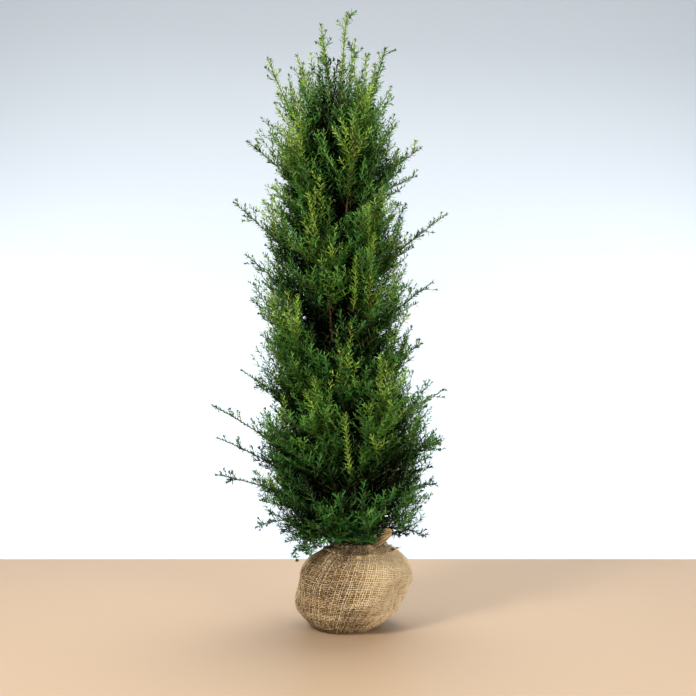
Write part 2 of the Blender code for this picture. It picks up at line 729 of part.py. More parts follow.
def ball_swell(azimuth, up, level):
    """How far the sacking stands out or in; up is 0 at the widest ring and 1 at the top of the sphere."""
    first = math.sin(LUMP_WAVES[0] * azimuth + LUMP_TURNS[0] * level / BALL_RISE)
    second = math.sin(LUMP_WAVES[1] * azimuth + LUMP_TURNS[1] * up + LUMP_START)
    swell = LUMP * (first + LUMP_SHARE * second)
    bulge, half_width, bulge_level, spread = BULGE
    swell += bulge * math.exp(-((wrapped(azimuth) / half_width) ** 2) - ((level - bulge_level) / spread) ** 2)
    gathered = smooth((up - PLEAT_SPAN[0]) / PLEAT_SPAN[1])
    swell += PLEAT_DEPTH * gathered * math.cos(PLEATS * azimuth + PLEAT_TURN * up)
    slack = smooth((up - DRAPE_SPAN[0]) / DRAPE_SPAN[1])
    uneven = DRAPE_WAVES * azimuth + DRAPE_DRIFT * math.sin(2 * azimuth)
    swell += DRAPE * slack * math.sin(uneven + DRAPE_TURN * up)
    aside = wrapped(azimuth - crease_azimuth(level))
    ridge = CREASE[0] * math.exp(-((aside / CREASE[1]) ** 2))
    hollow = HOLLOW[0] * math.exp(-(((aside - HOLLOW[1]) / HOLLOW[2]) ** 2))
    return swell + (ridge - hollow) * smooth((up - CREASE_SPAN[0]) / CREASE_SPAN[1])


def ball_mesh(name, grow):
    """A sphere drawn into the ball's leaning, lumpy form, cut flat below and above.

    Its columns wind round with the crease, so that one of them runs along the crease's ridge.
    """
    work = bmesh.new()
    bmesh.ops.create_uvsphere(work, u_segments=BALL_SECTORS, v_segments=BALL_RINGS, radius=1.0)
    for vertex in work.verts:
        x, y, z = vertex.co
        level = BALL_MIDDLE + BALL_RISE * z
        azimuth = math.atan2(y, x) + crease_azimuth(level)
        across = math.hypot(x, y) * (BALL_RADIUS + grow + ball_swell(azimuth, z, level))
        vertex.co.x = across * math.cos(azimuth)
        vertex.co.y = across * math.sin(azimuth)
        if level > BALL_SHOULDER:
            level = BALL_SHOULDER + (level - BALL_SHOULDER) * SHOULDER_PRESS
        vertex.co.z = level + grow * z
        vertex.co.x += BALL_LEAN * vertex.co.z
    for height, up in ((0.0, -1.0), (BALL_TOP + grow, 1.0)):
        cut = bmesh.ops.bisect_plane(
            work,
            geom=work.verts[:] + work.edges[:] + work.faces[:],
            plane_co=(0, 0, height),
            plane_no=(0, 0, up),
            clear_outer=True,
        )
        rim = [g for g in cut["geom_cut"] if isinstance(g, bmesh.types.BMEdge)]
        bmesh.ops.edgeloop_fill(work, edges=rim)
    bmesh.ops.recalc_face_normals(work, faces=work.faces)
    mesh = bpy.data.meshes.new(name)
    work.to_mesh(mesh)
    work.free()
    return mesh


def knot_line():
    """Centres and radii of the knot: wide at its foot, a waist, and a head."""
    path = bend(KNOT_FOOT, KNOT_TIP, KNOT_ARCH, KNOT_RINGS)
    along = np.linspace(0.0, 1.0, len(path))
    head = np.clip((along - KNOT_SPREAD_SHARE) / KNOT_HEAD_SHARE, 0, 1)
    swell = KNOT_WAIST + (KNOT_HEAD - KNOT_WAIST) * np.sin(math.pi * head)
    return path, swell + KNOT_SPREAD * np.clip(1 - along / KNOT_SPREAD_SHARE, 0, 1)


def sacking_knot(parts, finish):
    """The twisted ear of sacking tied beside the trunk, with its foot shaped to the ball."""
    path, swell = knot_line()
    rings = []
    corner = np.arange(KNOT_SIDES) * (2 * math.pi / KNOT_SIDES)
    for k, (_, side, upper) in enumerate(frames(path)):
        angles = corner + KNOT_TWIST * k * corner[1]
        out = np.cos(angles)[:, None] * side + np.sin(angles)[:, None] * upper
        radius = swell[k] * (1.0 + KNOT_FLUTE * np.cos(2 * corner))
        rings.append(path[k] + radius[:, None] * out)
    knot = new_object("sacking_knot", loft("sacking_knot", rings), parts, finish)
    helpers = bpy.data.collections.new("helpers")
    bpy.context.scene.collection.children.link(helpers)
    cutter = new_object("ball_cutter", ball_mesh("ball_cutter", KNOT_LIFT), helpers)
    cutter.hide_render = True
    cutter.display_type = "WIRE"
    cut = knot.modifiers.new("seat", "BOOLEAN")
    cut.operation = "DIFFERENCE"
    cut.object = cutter
    cut.solver = "EXACT"
    apply_modifiers(knot)
    bpy.data.objects.remove(cutter)
    bpy.data.collections.remove(helpers)
    closed_shell(knot.data)
    return knot


def trunk(parts, finish):
    """The trunk as a tapering tube on a poly curve."""
    curve = bpy.data.curves.new("trunk", "CURVE")
    curve.dimensions = "3D"
    curve.bevel_depth = 1.0
    curve.bevel_resolution = 3
    curve.use_fill_caps = True
    line = curve.splines.new("POLY")
    line.points.add(TRUNK_POINTS - 1)
    for point, centre, radius in zip(line.points, TRUNK_CENTRES, TRUNK_RADII):
        point.co = (*centre, 1.0)
        point.radius = radius
    made = new_object("trunk", curve, parts)
    curve.materials.append(finish)
    return made


# ---- the plant ---------------------------------------------------------------------
def build():
    for old in list(bpy.data.objects):
        bpy.data.objects.remove(old)
    parts = bpy.data.collections.new("root_balled_yew")
    bpy.context.scene.collection.children.link(parts)
    bark = material("bark", (0.16, 0.085, 0.055), 0.85)
    needles = material("needles", (0.045, 0.115, 0.030), 0.45)
    sacking = material("sacking", (0.42, 0.31, 0.17), 0.92)

    ball = new_object("root_ball", ball_mesh("root_ball", 0.0), parts, sacking)
    ball.data.shade_smooth()
    sacking_knot(parts, sacking)
    trunk(parts, bark)

    limbs = [(TRUNK_CENTRES, TRUNK_RADII), knot_line()]
    stems, seats = {}, {}
    for name, seat, out, tip in bough_lines():
        path = steep_path(seat, out, tip, BOUGH_POINTS)
        radii = np.linspace(BOUGH_FOOT_RADIUS, BOUGH_TIP_RADIUS, len(path))
        new_object(name, limb(name, path, radii, BOUGH_SIDES, seat), parts, bark)
        limbs.append((path, radii))
        height = tip[2] + TIP_MASS_RISE
        end = trunk_at(height)[0] + out * (crown_radius(height) + TIP_MASS_PROUD)
        end[2] = height
        mass = name.replace("bough", "foliage_bough")
        seats[mass] = ((path[-1], unit(path[-1] - path[-2])), BOUGH_TIP_RADIUS)
        stems[mass] = stem_path(seats[mass][0], end, TIP_MASS_ARCH)
    for name, seat, tip, arch in side_stems() + ring_stems() + skirt_stems() + leader_stems():
        seats[name] = (seat, STEM_RADIUS)
        stems[name] = stem_path(seat, tip, arch)

    space = Space(stems, limbs)
    graph = bpy.context.evaluated_depsgraph_get()
    neighbours = [skin_tree(piece.evaluated_get(graph).to_mesh()) for piece in parts.objects]
    for number, (name, path) in enumerate(sorted(stems.items())):
        seat, foot_radius = seats[name]
        foliage_mass(name, path, space, seat, foot_radius, neighbours, parts, needles, SEED + 2 * number)


build()
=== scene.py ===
import math

import bpy
import numpy as np
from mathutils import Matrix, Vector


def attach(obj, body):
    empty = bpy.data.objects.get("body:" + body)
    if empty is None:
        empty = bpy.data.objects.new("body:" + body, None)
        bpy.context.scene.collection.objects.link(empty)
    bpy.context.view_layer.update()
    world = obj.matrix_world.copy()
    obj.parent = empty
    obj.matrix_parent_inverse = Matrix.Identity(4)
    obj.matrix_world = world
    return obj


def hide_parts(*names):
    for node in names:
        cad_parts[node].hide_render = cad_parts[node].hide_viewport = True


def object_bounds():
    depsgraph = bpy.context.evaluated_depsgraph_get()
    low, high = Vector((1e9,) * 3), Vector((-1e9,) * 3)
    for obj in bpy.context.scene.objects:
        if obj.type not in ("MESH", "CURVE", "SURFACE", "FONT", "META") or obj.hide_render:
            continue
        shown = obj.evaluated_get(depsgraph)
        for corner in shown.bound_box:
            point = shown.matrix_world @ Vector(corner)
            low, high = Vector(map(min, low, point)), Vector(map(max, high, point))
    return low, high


# A young yew on its sacked root ball: bark, twigs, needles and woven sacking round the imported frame.
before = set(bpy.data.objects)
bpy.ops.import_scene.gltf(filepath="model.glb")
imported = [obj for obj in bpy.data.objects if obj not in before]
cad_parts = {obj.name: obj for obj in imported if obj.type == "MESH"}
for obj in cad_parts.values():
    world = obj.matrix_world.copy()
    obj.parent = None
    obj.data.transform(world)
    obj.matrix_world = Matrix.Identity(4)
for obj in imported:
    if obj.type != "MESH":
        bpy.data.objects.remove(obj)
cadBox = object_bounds()
lowCorner, highCorner = (np.array(corner) for corner in cadBox)
masses = [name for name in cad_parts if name.startswith("foliage")]
scene = bpy.context.scene
rng = np.random.default_rng(31)
goldenTurn = 137.508  # degrees
goldenAngle = math.radians(goldenTurn)
upward = np.array((0.0, 0.0, 1.0))
sideways = np.array((1.0, 1.0, 0.0))  # times a direction, this takes its height out


# Vectors scaled to a length of 1.
def unit(v):
    return v / np.maximum(np.linalg.norm(v, axis=-1, keepdims=True), 1e-9)


# The level direction at an azimuth in degrees, counted from +X towards +Y.
def heading(azimuth):
    a = math.radians(azimuth)
    return np.array((math.cos(a), math.sin(a), 0.0))


# 0 up to t = 0, 1 from t = 1 on, and an even S between them.
def smooth(t):
    t = np.clip(t, 0.0, 1.0)
    return t * t * (3.0 - 2.0 * t)


# A quadratic curve from start to end by way of a control point.
def curveBy(start, knee, end, count):
    t = np.linspace(0.0, 1.0, count)[:, None]
    return (1 - t) ** 2 * start + 2 * t * (1 - t) * knee + t * t * end


# The same curve with its control point lifted over the middle by arch times the span.
def bend(start, end, arch, count):
    middle = (start + end) / 2 + np.array((0.0, 0.0, arch * np.linalg.norm(end - start)))
    return curveBy(start, middle, end, count)


# The distance run along a line at each of its points.
def runAlong(line):
    return np.concatenate(([0.0], np.cumsum(np.linalg.norm(np.diff(line, axis=0), axis=1))))


# The same line with so many points, evenly spaced.
def respaced(line, count):
    run = runAlong(line)
    at = np.linspace(0.0, run[-1], count)
    return np.column_stack([np.interp(at, run, line[:, k]) for k in range(3)])


# The sum of the lengths of a line's pieces.
def lengthOf(line):
    return float(np.linalg.norm(np.diff(line, axis=0), axis=1).sum())


# Sizes are in metres and angles in degrees. The ball, trunk, crown and boughs keep the solids' own sizes,
# because the fine twigs grow along the same lines and keep to the same spaces.
ball = dict(radius=0.197, middle=0.150, rise=0.178, lean=0.20, shoulder=0.24, top=0.298, press=0.72,
            lump=0.0045, bulge=0.014, bulgeWidth=0.55, bulgeLevel=0.215, bulgeSpread=0.045,
            pleats=11, pleatDepth=0.005, drape=0.0030, crease=0.0055, creaseWidth=0.075,
            hollow=0.0035, hollowWidth=0.09)
trunk = dict(top=1.845, foot=0.0215, tip=0.0045, taper=0.85, flare=0.012, flareHeight=0.05, footX=0.012,
             lean=-0.036, leanShare=0.55, sway=0.007, waves=(9.0, 7.0), waveShift=0.6, points=22, gap=0.0003)
trunkHeights = np.linspace(ball["top"] + trunk["gap"], trunk["top"], trunk["points"])


# Taper, root flare, a lean that eases in over the lower half, and a slow sway each way.
def trunkLine():
    z = trunkHeights
    up = (z - z[0]) / (z[-1] - z[0])
    swayX, swayY = trunk["waves"]
    x = trunk["footX"] + trunk["lean"] * smooth(up / trunk["leanShare"])
    x = x + trunk["sway"] * np.sin(swayX * up) * smooth(up * 4)
    y = trunk["sway"] * np.sin(swayY * up + trunk["waveShift"]) * smooth(up * 4)
    radius = trunk["foot"] + (trunk["tip"] - trunk["foot"]) * up ** trunk["taper"]
    radius = radius + trunk["flare"] * np.exp(-(z - z[0]) / trunk["flareHeight"])
    return np.column_stack((x, y, z)), radius


trunkCentres, trunkRadii = trunkLine()


# The trunk's centre and radius at a height.
def trunkAt(height):
    centre = np.stack([np.interp(height, trunkHeights, trunkCentres[:, k]) for k in range(3)], axis=-1)
    return centre, np.interp(height, trunkHeights, trunkRadii)


# The crown is closed within a radius that its profile gives by height. Long shoots stand out of it: reach and
# height of each tip at the left and the right, and rings and skirts of stems round the trunk between them.
crown = dict(
    profile=((0.27, 0.120), (0.42, 0.235), (0.62, 0.262), (1.05, 0.224), (1.50, 0.212),
             (1.74, 0.184), (1.88, 0.148), (1.99, 0.104), (2.08, 0.058), (2.15, 0.000)),
    left=((0.320, 0.346), (0.446, 0.558), (0.457, 0.673), (0.454, 0.799), (0.374, 0.918),
          (0.328, 1.170), (0.364, 1.346), (0.392, 1.519), (0.353, 1.757)),
    right=((0.288, 0.331), (0.338, 0.500), (0.342, 0.670), (0.367, 0.846),
           (0.274, 1.015), (0.320, 1.238), (0.356, 1.465), (0.274, 1.721)),
    swing=18.0, rise=((0.33, 0.56, 0.80, 1.20), (0.03, 0.44, 0.72, 0.90)),
    arch=((0.33, 0.56, 0.80), (0.26, 0.11, 0.06)),
    ringFeet=((0.385, 0.430, 0.410, 0.480), (0.660, 0.810, 0.720, 0.820),
              (0.985, 1.100, 1.045, 1.210), (1.300, 1.420, 1.360, 1.530)),
    ringAngles=(28.0, 45.0), ringSkew=9.0, ringRise=0.40, ringProud=0.030, ringArch=0.05, lowestFoot=0.342,
    skirts=((-146.0, 0.215, 0.282), (-62.0, 0.215, 0.340), (58.0, 0.215, 0.330), (136.0, 0.225, 0.300),
            (-104.0, 0.200, 0.352)),
    leaders=((0.010, 2.207, 1.845, 0.0), (-0.083, 2.167, 1.765, 145.0), (0.040, 2.113, 1.720, 48.0),
             (0.149, 2.070, 1.590, -20.0), (-0.169, 2.045, 1.640, 198.0), (-0.065, 2.045, 1.690, 262.0),
             (-0.275, 2.045, 1.490, 168.0)),
    leaderArch=-0.04, stemPoints=60)


# The closed crown's radius at a height, read off its profile by straight lines.
def crownRadius(height):
    heights, radii = zip(*crown["profile"])
    return np.interp(height, heights, radii)


# Foot of a stem on the trunk's side.
def seatOn(height, out):
    centre, radius = trunkAt(height)
    return centre + out * (radius + trunk["gap"])


# Stems to the tips at either side, swung to the front and the back by turns. The higher the tip, the further
# below it the stem leaves the trunk.
def sideStems():
    stems = []
    for name, tips, azimuth in (("left", crown["left"], 180.0), ("right", crown["right"], 0.0)):
        for number, (reach, height) in enumerate(tips):
            swing = crown["swing"] * (1 if number % 2 else -1) * (0.6 + 0.4 * math.sin(2.4 * number))
            out = heading(azimuth + swing)
            foot = seatOn(height - reach * np.interp(height, *crown["rise"]), out)
            tip = out * (reach / abs(out[0]))
            tip[2] = height
            stems.append((f"foliage_{name}_{number + 1}", foot, tip, np.interp(height, *crown["arch"])))
    return stems


# Rings of four stems, two at the front and two at the back, that end a little outside the closed crown.
def ringStems():
    stems = []
    for tier, feet in enumerate(crown["ringFeet"]):
        for number, foot in enumerate(feet):
            half = number // 2
            turn = 1 if number % 2 else -1
            skew = -crown["ringSkew"] if tier % 2 else crown["ringSkew"]
            out = heading(180.0 * half - 90.0 + turn * crown["ringAngles"][(tier + half) % 2] + skew)
            height = foot + crown["ringRise"]
            tip = trunkAt(height)[0] + out * (crownRadius(height) + crown["ringProud"])
            name = f"foliage_{('front', 'back')[half]}_{2 * tier + number % 2 + 1}"
            stems.append((name, seatOn(foot, out), tip, crown["ringArch"]))
    return stems


# Low stems that droop over the ball, given as azimuth, reach and height of the tip.
def skirtStems():
    stems = []
    for number, (azimuth, reach, height) in enumerate(crown["skirts"]):
        out = heading(azimuth)
        tip = out * reach
        tip[2] = height
        foot = max(crown["lowestFoot"], height - reach * np.interp(height, *crown["rise"]))
        arch = np.interp(height, *crown["arch"])
        stems.append((f"foliage_low_{number + 1}", seatOn(foot, out), tip, arch))
    return stems


# Leading shoots, given as side and height of the tip, and height and azimuth of the foot. The first one goes
# straight on from the trunk's tip.
def leaderStems():
    stems = []
    for number, (side, height, footHeight, azimuth) in enumerate(crown["leaders"]):
        centre = trunkAt(footHeight)[0]
        out = heading(azimuth)
        foot = seatOn(footHeight, out) if number else trunkCentres[-1]
        tip = np.array((side, centre[1] + 0.5 * abs(side - centre[0]) * out[1], height))
        stems.append((f"foliage_leader_{number + 1}", foot, tip, crown["leaderArch"] if number else 0.0))
    return stems


bough = dict(feet=(0.400, 0.775, 1.150), angles=(-84.0, -98.0, -76.0), rise=0.31, reach=0.118,
             knee=(0.62, 0.34), backRaised=0.120, foot=0.0075, tip=0.0042, points=7,
             massRise=0.22, massProud=0.012, massArch=0.03)


# A bough leaves the trunk at a slant and turns up: a quadratic curve with its knee low and far out.
def boughLines():
    lines = []
    for storey, footHeight in enumerate(bough["feet"]):
        for place, turn, raised in (("front", 1, 0.0), ("back", -1, bough["backRaised"])):
            out = heading(turn * bough["angles"][storey])
            foot = seatOn(footHeight + raised, out)
            tip = trunkAt(footHeight + raised + bough["rise"])[0] + out * bough["reach"]
            knee = foot + out * bough["knee"][0] * bough["reach"]
            knee = knee + np.array((0.0, 0.0, bough["knee"][1] * bough["rise"]))
            path = curveBy(foot, knee, tip, bough["points"])
            lines.append((f"bough_{place}_{storey + 1}", path, out))
    return lines


# Every mass's stem as a curve, by the name of its node.
def massStems():
    stems = {}
    for name, path, out in boughLines():
        height = path[-1, 2] + bough["massRise"]
        end = trunkAt(height)[0] + out * (crownRadius(height) + bough["massProud"])
        end[2] = height
        stems[name.replace("bough", "foliage_bough")] = bend(path[-1], end, bough["massArch"],
                                                              crown["stemPoints"])
    for name, foot, tip, arch in sideStems() + ringStems() + skirtStems() + leaderStems():
        stems[name] = bend(foot, tip, arch, crown["stemPoints"])
    return stems


# The knot's sizes come this early because foliage keeps clear of it. Shares are of the way from foot to tip.
knot = dict(foot=(0.082, -0.052, 0.262), tip=(0.166, -0.094, 0.362), arch=0.12, waist=0.010, head=0.017,
            spread=0.012, spreadShare=0.35, headShare=0.78, closeShare=0.10, turns=2.6, rows=110, columns=72,
            linePoints=200, yarns=26, yarnRadius=0.0011, yarnThickness=(0.7, 1.2), yarnEnds=(6, -3),
            clear=0.014, guardPoints=12)

# A mass's space runs halfway to the next stem, and a little past that. Stems and limbs are tested as points.
space = dict(stemSpacing=0.012, limbPoints=60, overlap=0.028, clear=0.003, pastSolids=0.004, rayStep=0.006,
             batch=4000, lowest=(0.256, 0.318), skirtEdge=-0.12, skirtFade=0.05)

stems = massStems()
names = sorted(stems)
limbs = [(trunkCentres, trunkRadii)]
limbs += [(path, np.linspace(bough["foot"], bough["tip"], len(path))) for _, path, _ in boughLines()]
knotGuard = bend(np.array(knot["foot"]), np.array(knot["tip"]), knot["arch"], knot["guardPoints"])
limbs.append((knotGuard, np.full(len(knotGuard), knot["head"] + knot["clear"])))
stemSamples = [respaced(stems[n], max(4, int(lengthOf(stems[n]) / space["stemSpacing"]))) for n in names]
stemStarts = np.cumsum([0] + [len(s) for s in stemSamples[:-1]])
allSamples = np.concatenate(stemSamples)
limbSamples = np.concatenate([respaced(path, space["limbPoints"]) for path, _ in limbs])
limbShares = np.linspace(0, 1, space["limbPoints"])
limbRadii = np.concatenate([np.interp(limbShares, np.linspace(0, 1, len(r)), r) for _, r in limbs])
print("skeleton:", len(names), "masses on", len(limbs), "limbs")


# How far points lie under the surface of the closed crown: its radius at that height less their own.
def depthInCrown(points):
    middle = trunkAt(points[..., 2])[0]
    own = np.hypot(points[..., 0] - middle[..., 0], points[..., 1] - middle[..., 1])
    return crownRadius(points[..., 2]) - own


# Lowest height for shoots over each point: the ball's pressed dome, and a level that is lower at the left,
# where a skirt of shoots hangs.
def ballTopUnder(points):
    across = np.hypot(points[..., 0] - ball["lean"] * ball["top"], points[..., 1])
    reach = ball["radius"] + ball["bulge"] + ball["lump"] + ball["drape"] + ball["crease"]
    over = np.clip(1.0 - (across / reach) ** 2, 0.0, 1.0)
    top = np.minimum(ball["top"], ball["middle"] + ball["rise"] * np.sqrt(over)) + 2 * ball["lump"]
    hanging, elsewhere = space["lowest"]
    fade = smooth((points[..., 0] - space["skirtEdge"]) / space["skirtFade"])
    lowest = hanging + (elsewhere - hanging) * fade
    return np.where(over > 0.0, np.maximum(top, lowest), lowest)


# Squared distances from points to samples, as a table.
def squaredGaps(points, samples):
    return (points**2).sum(1)[:, None] + (samples**2).sum(1) - 2 * points @ samples.T


# Positive where points are in their own mass's space, clear of limbs and of the ball, and no more than a few
# millimetres past the box of the solids. Sprays that start on the trunk have no mass of their own.
def roomFor(mass, points):
    flat = points.reshape(-1, 3)
    room = np.empty(len(flat))
    for first in range(0, len(flat), space["batch"]):
        some = flat[first:first + space["batch"]]
        gaps = np.sqrt(np.maximum(squaredGaps(some, limbSamples), 0.0))
        limb = (gaps - limbRadii).min(axis=1) - space["clear"]
        floor = some[:, 2] - ballTopUnder(some) - space["clear"]
        edge = np.minimum(some - lowCorner, highCorner - some).min(axis=1) + space["pastSolids"]
        least = np.minimum.reduce((limb, floor, edge))
        if mass is not None:
            nearest = np.minimum.reduceat(squaredGaps(some, allSamples), stemStarts, axis=1)
            apart = np.sqrt(np.maximum(nearest, 0.0))
            own = apart[:, mass].copy()
            apart[:, mass] = np.inf
            least = np.minimum(least, apart.min(axis=1) - own + space["overlap"])
        room[first:first + space["batch"]] = least
    return room.reshape(points.shape[:-1])


# How far each ray runs before it leaves the mass's own space, and before it leaves the crown.
def reachInside(mass, starts, ways, longest, proud):
    stride = space["rayStep"]
    steps = np.arange(stride, longest + stride, stride)
    points = starts[:, None] + steps[None, :, None] * ways[:, None]
    own = roomFor(mass, points) > 0.0
    closed = depthInCrown(points) > -np.asarray(proud)[:, None]
    own[:, 0] = True
    return np.cumprod(own, axis=1).sum(axis=1) * stride, np.cumprod(closed, axis=1).sum(axis=1) * stride


# Forward, side and upper directions at each point of many paths, the upper one as near the sky as it can be.
def framesOf(paths):
    forward = unit(np.gradient(paths, axis=-2))
    steep = np.abs(forward[..., 2:3]) > 0.93  # too near upright to take the sky as a helper
    helper = np.where(steep, np.array((0.0, -1.0, 0.0)), upward)
    side = unit(np.cross(helper, forward))
    return forward, side, np.cross(forward, side)


# Points on many paths, at a share of each one's length between 0 and 1.
def alongPaths(paths, which, share):
    place = np.clip(share, 0.0, 0.9999) * (paths.shape[1] - 1)
    low = place.astype(int)
    part = (place - low)[:, None]
    return paths[which, low] * (1 - part) + paths[which, low + 1] * part


# Numbers the items when there are so many on each path: the path of each item, and its place on that path.
def numbered(counts):
    which = np.repeat(np.arange(len(counts)), counts)
    return which, np.arange(len(which)) - np.repeat(np.cumsum(counts) - counts, counts)


# Directions at an angle round an axis, measured from its side towards its upper direction.
def roundAxis(around, side, upper):
    return np.cos(around) * side + np.sin(around) * upper


# Shoots start at their feet and run straight, swayed a little, with a share of their length added upwards as
# the square of the way to the tip.
def shootPaths(starts, ways, lengths, upturn, count):
    t = np.linspace(0.0, 1.0, count)[None, :, None]
    reach = lengths[:, None, None]
    lift = upward * (upturn * reach * t * t)
    sway = np.cross(ways, rng.normal(size=ways.shape))[:, None] * (sideShoot["sway"] * reach * t * (1 - t))
    return starts[:, None] + ways[:, None] * reach * t + lift + sway


# Paths of one order of shoots, with the tint and the length of each.
class Shoots:
    def __init__(self):
        self.paths = []
        self.tint = []

    def add(self, paths, tint):
        self.paths.append(paths)
        self.tint.append(tint)

    def close(self):
        self.paths = np.concatenate(self.paths)
        self.tint = np.concatenate(self.tint)
        self.lengths = np.linalg.norm(np.diff(self.paths, axis=1), axis=2).sum(axis=1)


# The five greens of the needles, darkest first, and what makes a spray brighter. Deep in the crown the greens
# are
# darker: painted shade there, over the real darker old needles.
tints = ("deep", "dark", "mid", "fresh", "bright")
tinting = dict(base=0.42, byOuterLightAndAge=1.25, byHeight=0.70, byUpright=1.1, lowest=0.4, span=1.6, skin=0.075,
               outerRange=(-0.3, 1.3))


# A spray's tint: brighter with height, with being outermost and with growing upright, and by luck. Being deep
# in
# the crown darkens it: painted shade, over the real darker old needles there.
def dealTint(points, ways, luck):
    height = np.clip((points[:, 2] - tinting["lowest"]) / tinting["span"], 0.0, 1.0)
    outerLitAndYoung = np.clip(1.0 - depthInCrown(points) / tinting["skin"], *tinting["outerRange"])
    upright = np.clip(ways[:, 2], 0.0, 1.0)
    score = tinting["base"] + tinting["byOuterLightAndAge"] * outerLitAndYoung + tinting["byHeight"] * height
    score = score + tinting["byUpright"] * upright**2 * outerLitAndYoung + luck
    return np.clip(score, 0.0, len(tints) - 0.01).astype(int)


# Side shoots are of two kinds: slanting ones all along a stem, and erect leaders of this year's growth
# further out. proud is how far past the closed crown they may reach, and brighter goes to their tint.
slanting = dict(step=0.0100, least=6, lowFuller=0.6, start=0.05, lift=0.42, longest=0.22,
                proud=(-0.030, 0.092), outward=0.0, brighter=0.0)
erect = dict(step=0.044, least=1, lowFuller=0.0, start=0.35, lift=2.3, longest=0.25,
             proud=(0.018, 0.05), outward=0.7, brighter=0.9)
jitter = (0.3, 0.7)  # of the way from one shoot to the next
sideShoot = dict(end=0.985, slant=52.0, slantLuck=(0.80, 1.15), liftLuck=(0.6, 1.4), proudLuck=2.0,
                 levelUnder=0.32, levelFade=0.35, freeLength=(0.014, 0.052), freeFade=(2.0, 1.6),
                 freeRange=(0.5, 1.6), shortest=0.012, outside=0.34, upturn=0.14, sway=0.05, points=8,
                 massLuck=0.5, luck=0.60, lowTip=(0.85, 0.30))
fork = dict(number=1, onLeaders=4, share=(0.76, 0.96), length=(0.024, 0.050), luck=(0.2, 0.4))
fineShoot = dict(step=0.0225, start=0.14, end=0.97, slant=46.0, slantLuck=(0.80, 1.20), offPlane=(0.12, 0.40),
                 share=0.60, base=0.030, lengthLuck=(0.55, 1.15), shorter=0.6, lift=0.25, longest=0.115,
                 shortest=0.009, upturn=0.10, points=4, deepest=0.20, leastParent=0.030, luck=0.25)
mainStem = dict(shapePoints=60, points=36, tipPoints=8, luck=(0.2, 0.3))
# Towards the top shoots are fewer and more upright, and the sky shows between them.
crownTop = dict(start=1.73, fade=0.20, sideThins=0.90, fineThins=0.74, lift=1.6, liftEarlier=0.15)


# 1 for a mass whose tip is low on the plant, where the crown is closed, and 0 for one well up.
def lowMass(line):
    height, fade = sideShoot["lowTip"]
    return smooth((height - line[-1, 2]) / fade)


# From 0 below the top of the crown to 1 well inside it.
def nearTop(heights):
    return smooth((heights - crownTop["start"]) / crownTop["fade"])


# Feet along a stem, with the stem's direction there and directions out of it that turn by the golden angle.
def fannedFeet(line, share):
    which = np.zeros(len(share), int)
    starts = alongPaths(line[None], which, share)
    forward, side, upper = (alongPaths(v[None], which, share) for v in framesOf(line))
    around = rng.uniform(0, 2 * math.pi) + goldenAngle * np.arange(len(share))
    return starts, forward, roundAxis(around[:, None], side, upper)


# Side shoots by the golden angle up the stem, each as long as its mass's space and the crown let it be.
def sideShoots(mass, line, kind):
    fuller = 1.0 + kind["lowFuller"] * lowMass(line)
    count = max(kind["least"], int(lengthOf(line) / kind["step"] * fuller))
    place = np.arange(count) + rng.uniform(*jitter, count)
    share = kind["start"] + (sideShoot["end"] - kind["start"]) * place / count
    starts, forward, out = fannedFeet(line, share)
    slant = np.radians(sideShoot["slant"] * rng.uniform(*sideShoot["slantLuck"], count))[:, None]
    leastLevel = smooth((line[-1, 2] - sideShoot["levelUnder"]) / sideShoot["levelFade"])
    lift = kind["lift"] * rng.uniform(*sideShoot["liftLuck"], count) * leastLevel
    steeper = smooth((starts[:, 2] - crownTop["start"] + crownTop["liftEarlier"]) / crownTop["fade"])
    lift = (lift * (1.0 + crownTop["lift"] * steeper))[:, None] * upward
    away = unit((starts - trunkAt(starts[:, 2])[0]) * sideways)
    ways = unit(np.cos(slant) * forward + np.sin(slant) * out + lift + kind["outward"] * away)
    least = kind["proud"][0] * (1.0 - lowMass(line))
    proud = least + (kind["proud"][1] - least) * rng.random(count) ** sideShoot["proudLuck"]
    toEdge, toSkin = reachInside(mass, starts, ways, kind["longest"], proud)
    atFoot, fade = sideShoot["freeFade"]
    fading = np.clip(atFoot - fade * share, *sideShoot["freeRange"])
    freeLength = rng.uniform(*sideShoot["freeLength"], count) * fading
    lengths = np.minimum(np.minimum(toEdge, np.maximum(freeLength, toSkin)), kind["longest"])
    wanted = (depthInCrown(starts) > 0.0) | (rng.random(count) < sideShoot["outside"])
    thinned = rng.random(count) <= crownTop["sideThins"] * nearTop(starts[:, 2])
    keep = (lengths > sideShoot["shortest"]) & wanted & ~thinned
    return starts[keep], ways[keep], lengths[keep]


# A few short shoots fork off close under the tip of each stem, and more of them on the leaders.
def tipForks(line, count):
    starts, forward, out = fannedFeet(line, rng.uniform(*fork["share"], count))
    slant = np.radians(sideShoot["slant"] * rng.uniform(*sideShoot["slantLuck"], count))[:, None]
    return starts, unit(np.cos(slant) * forward + np.sin(slant) * out), rng.uniform(*fork["length"], count)


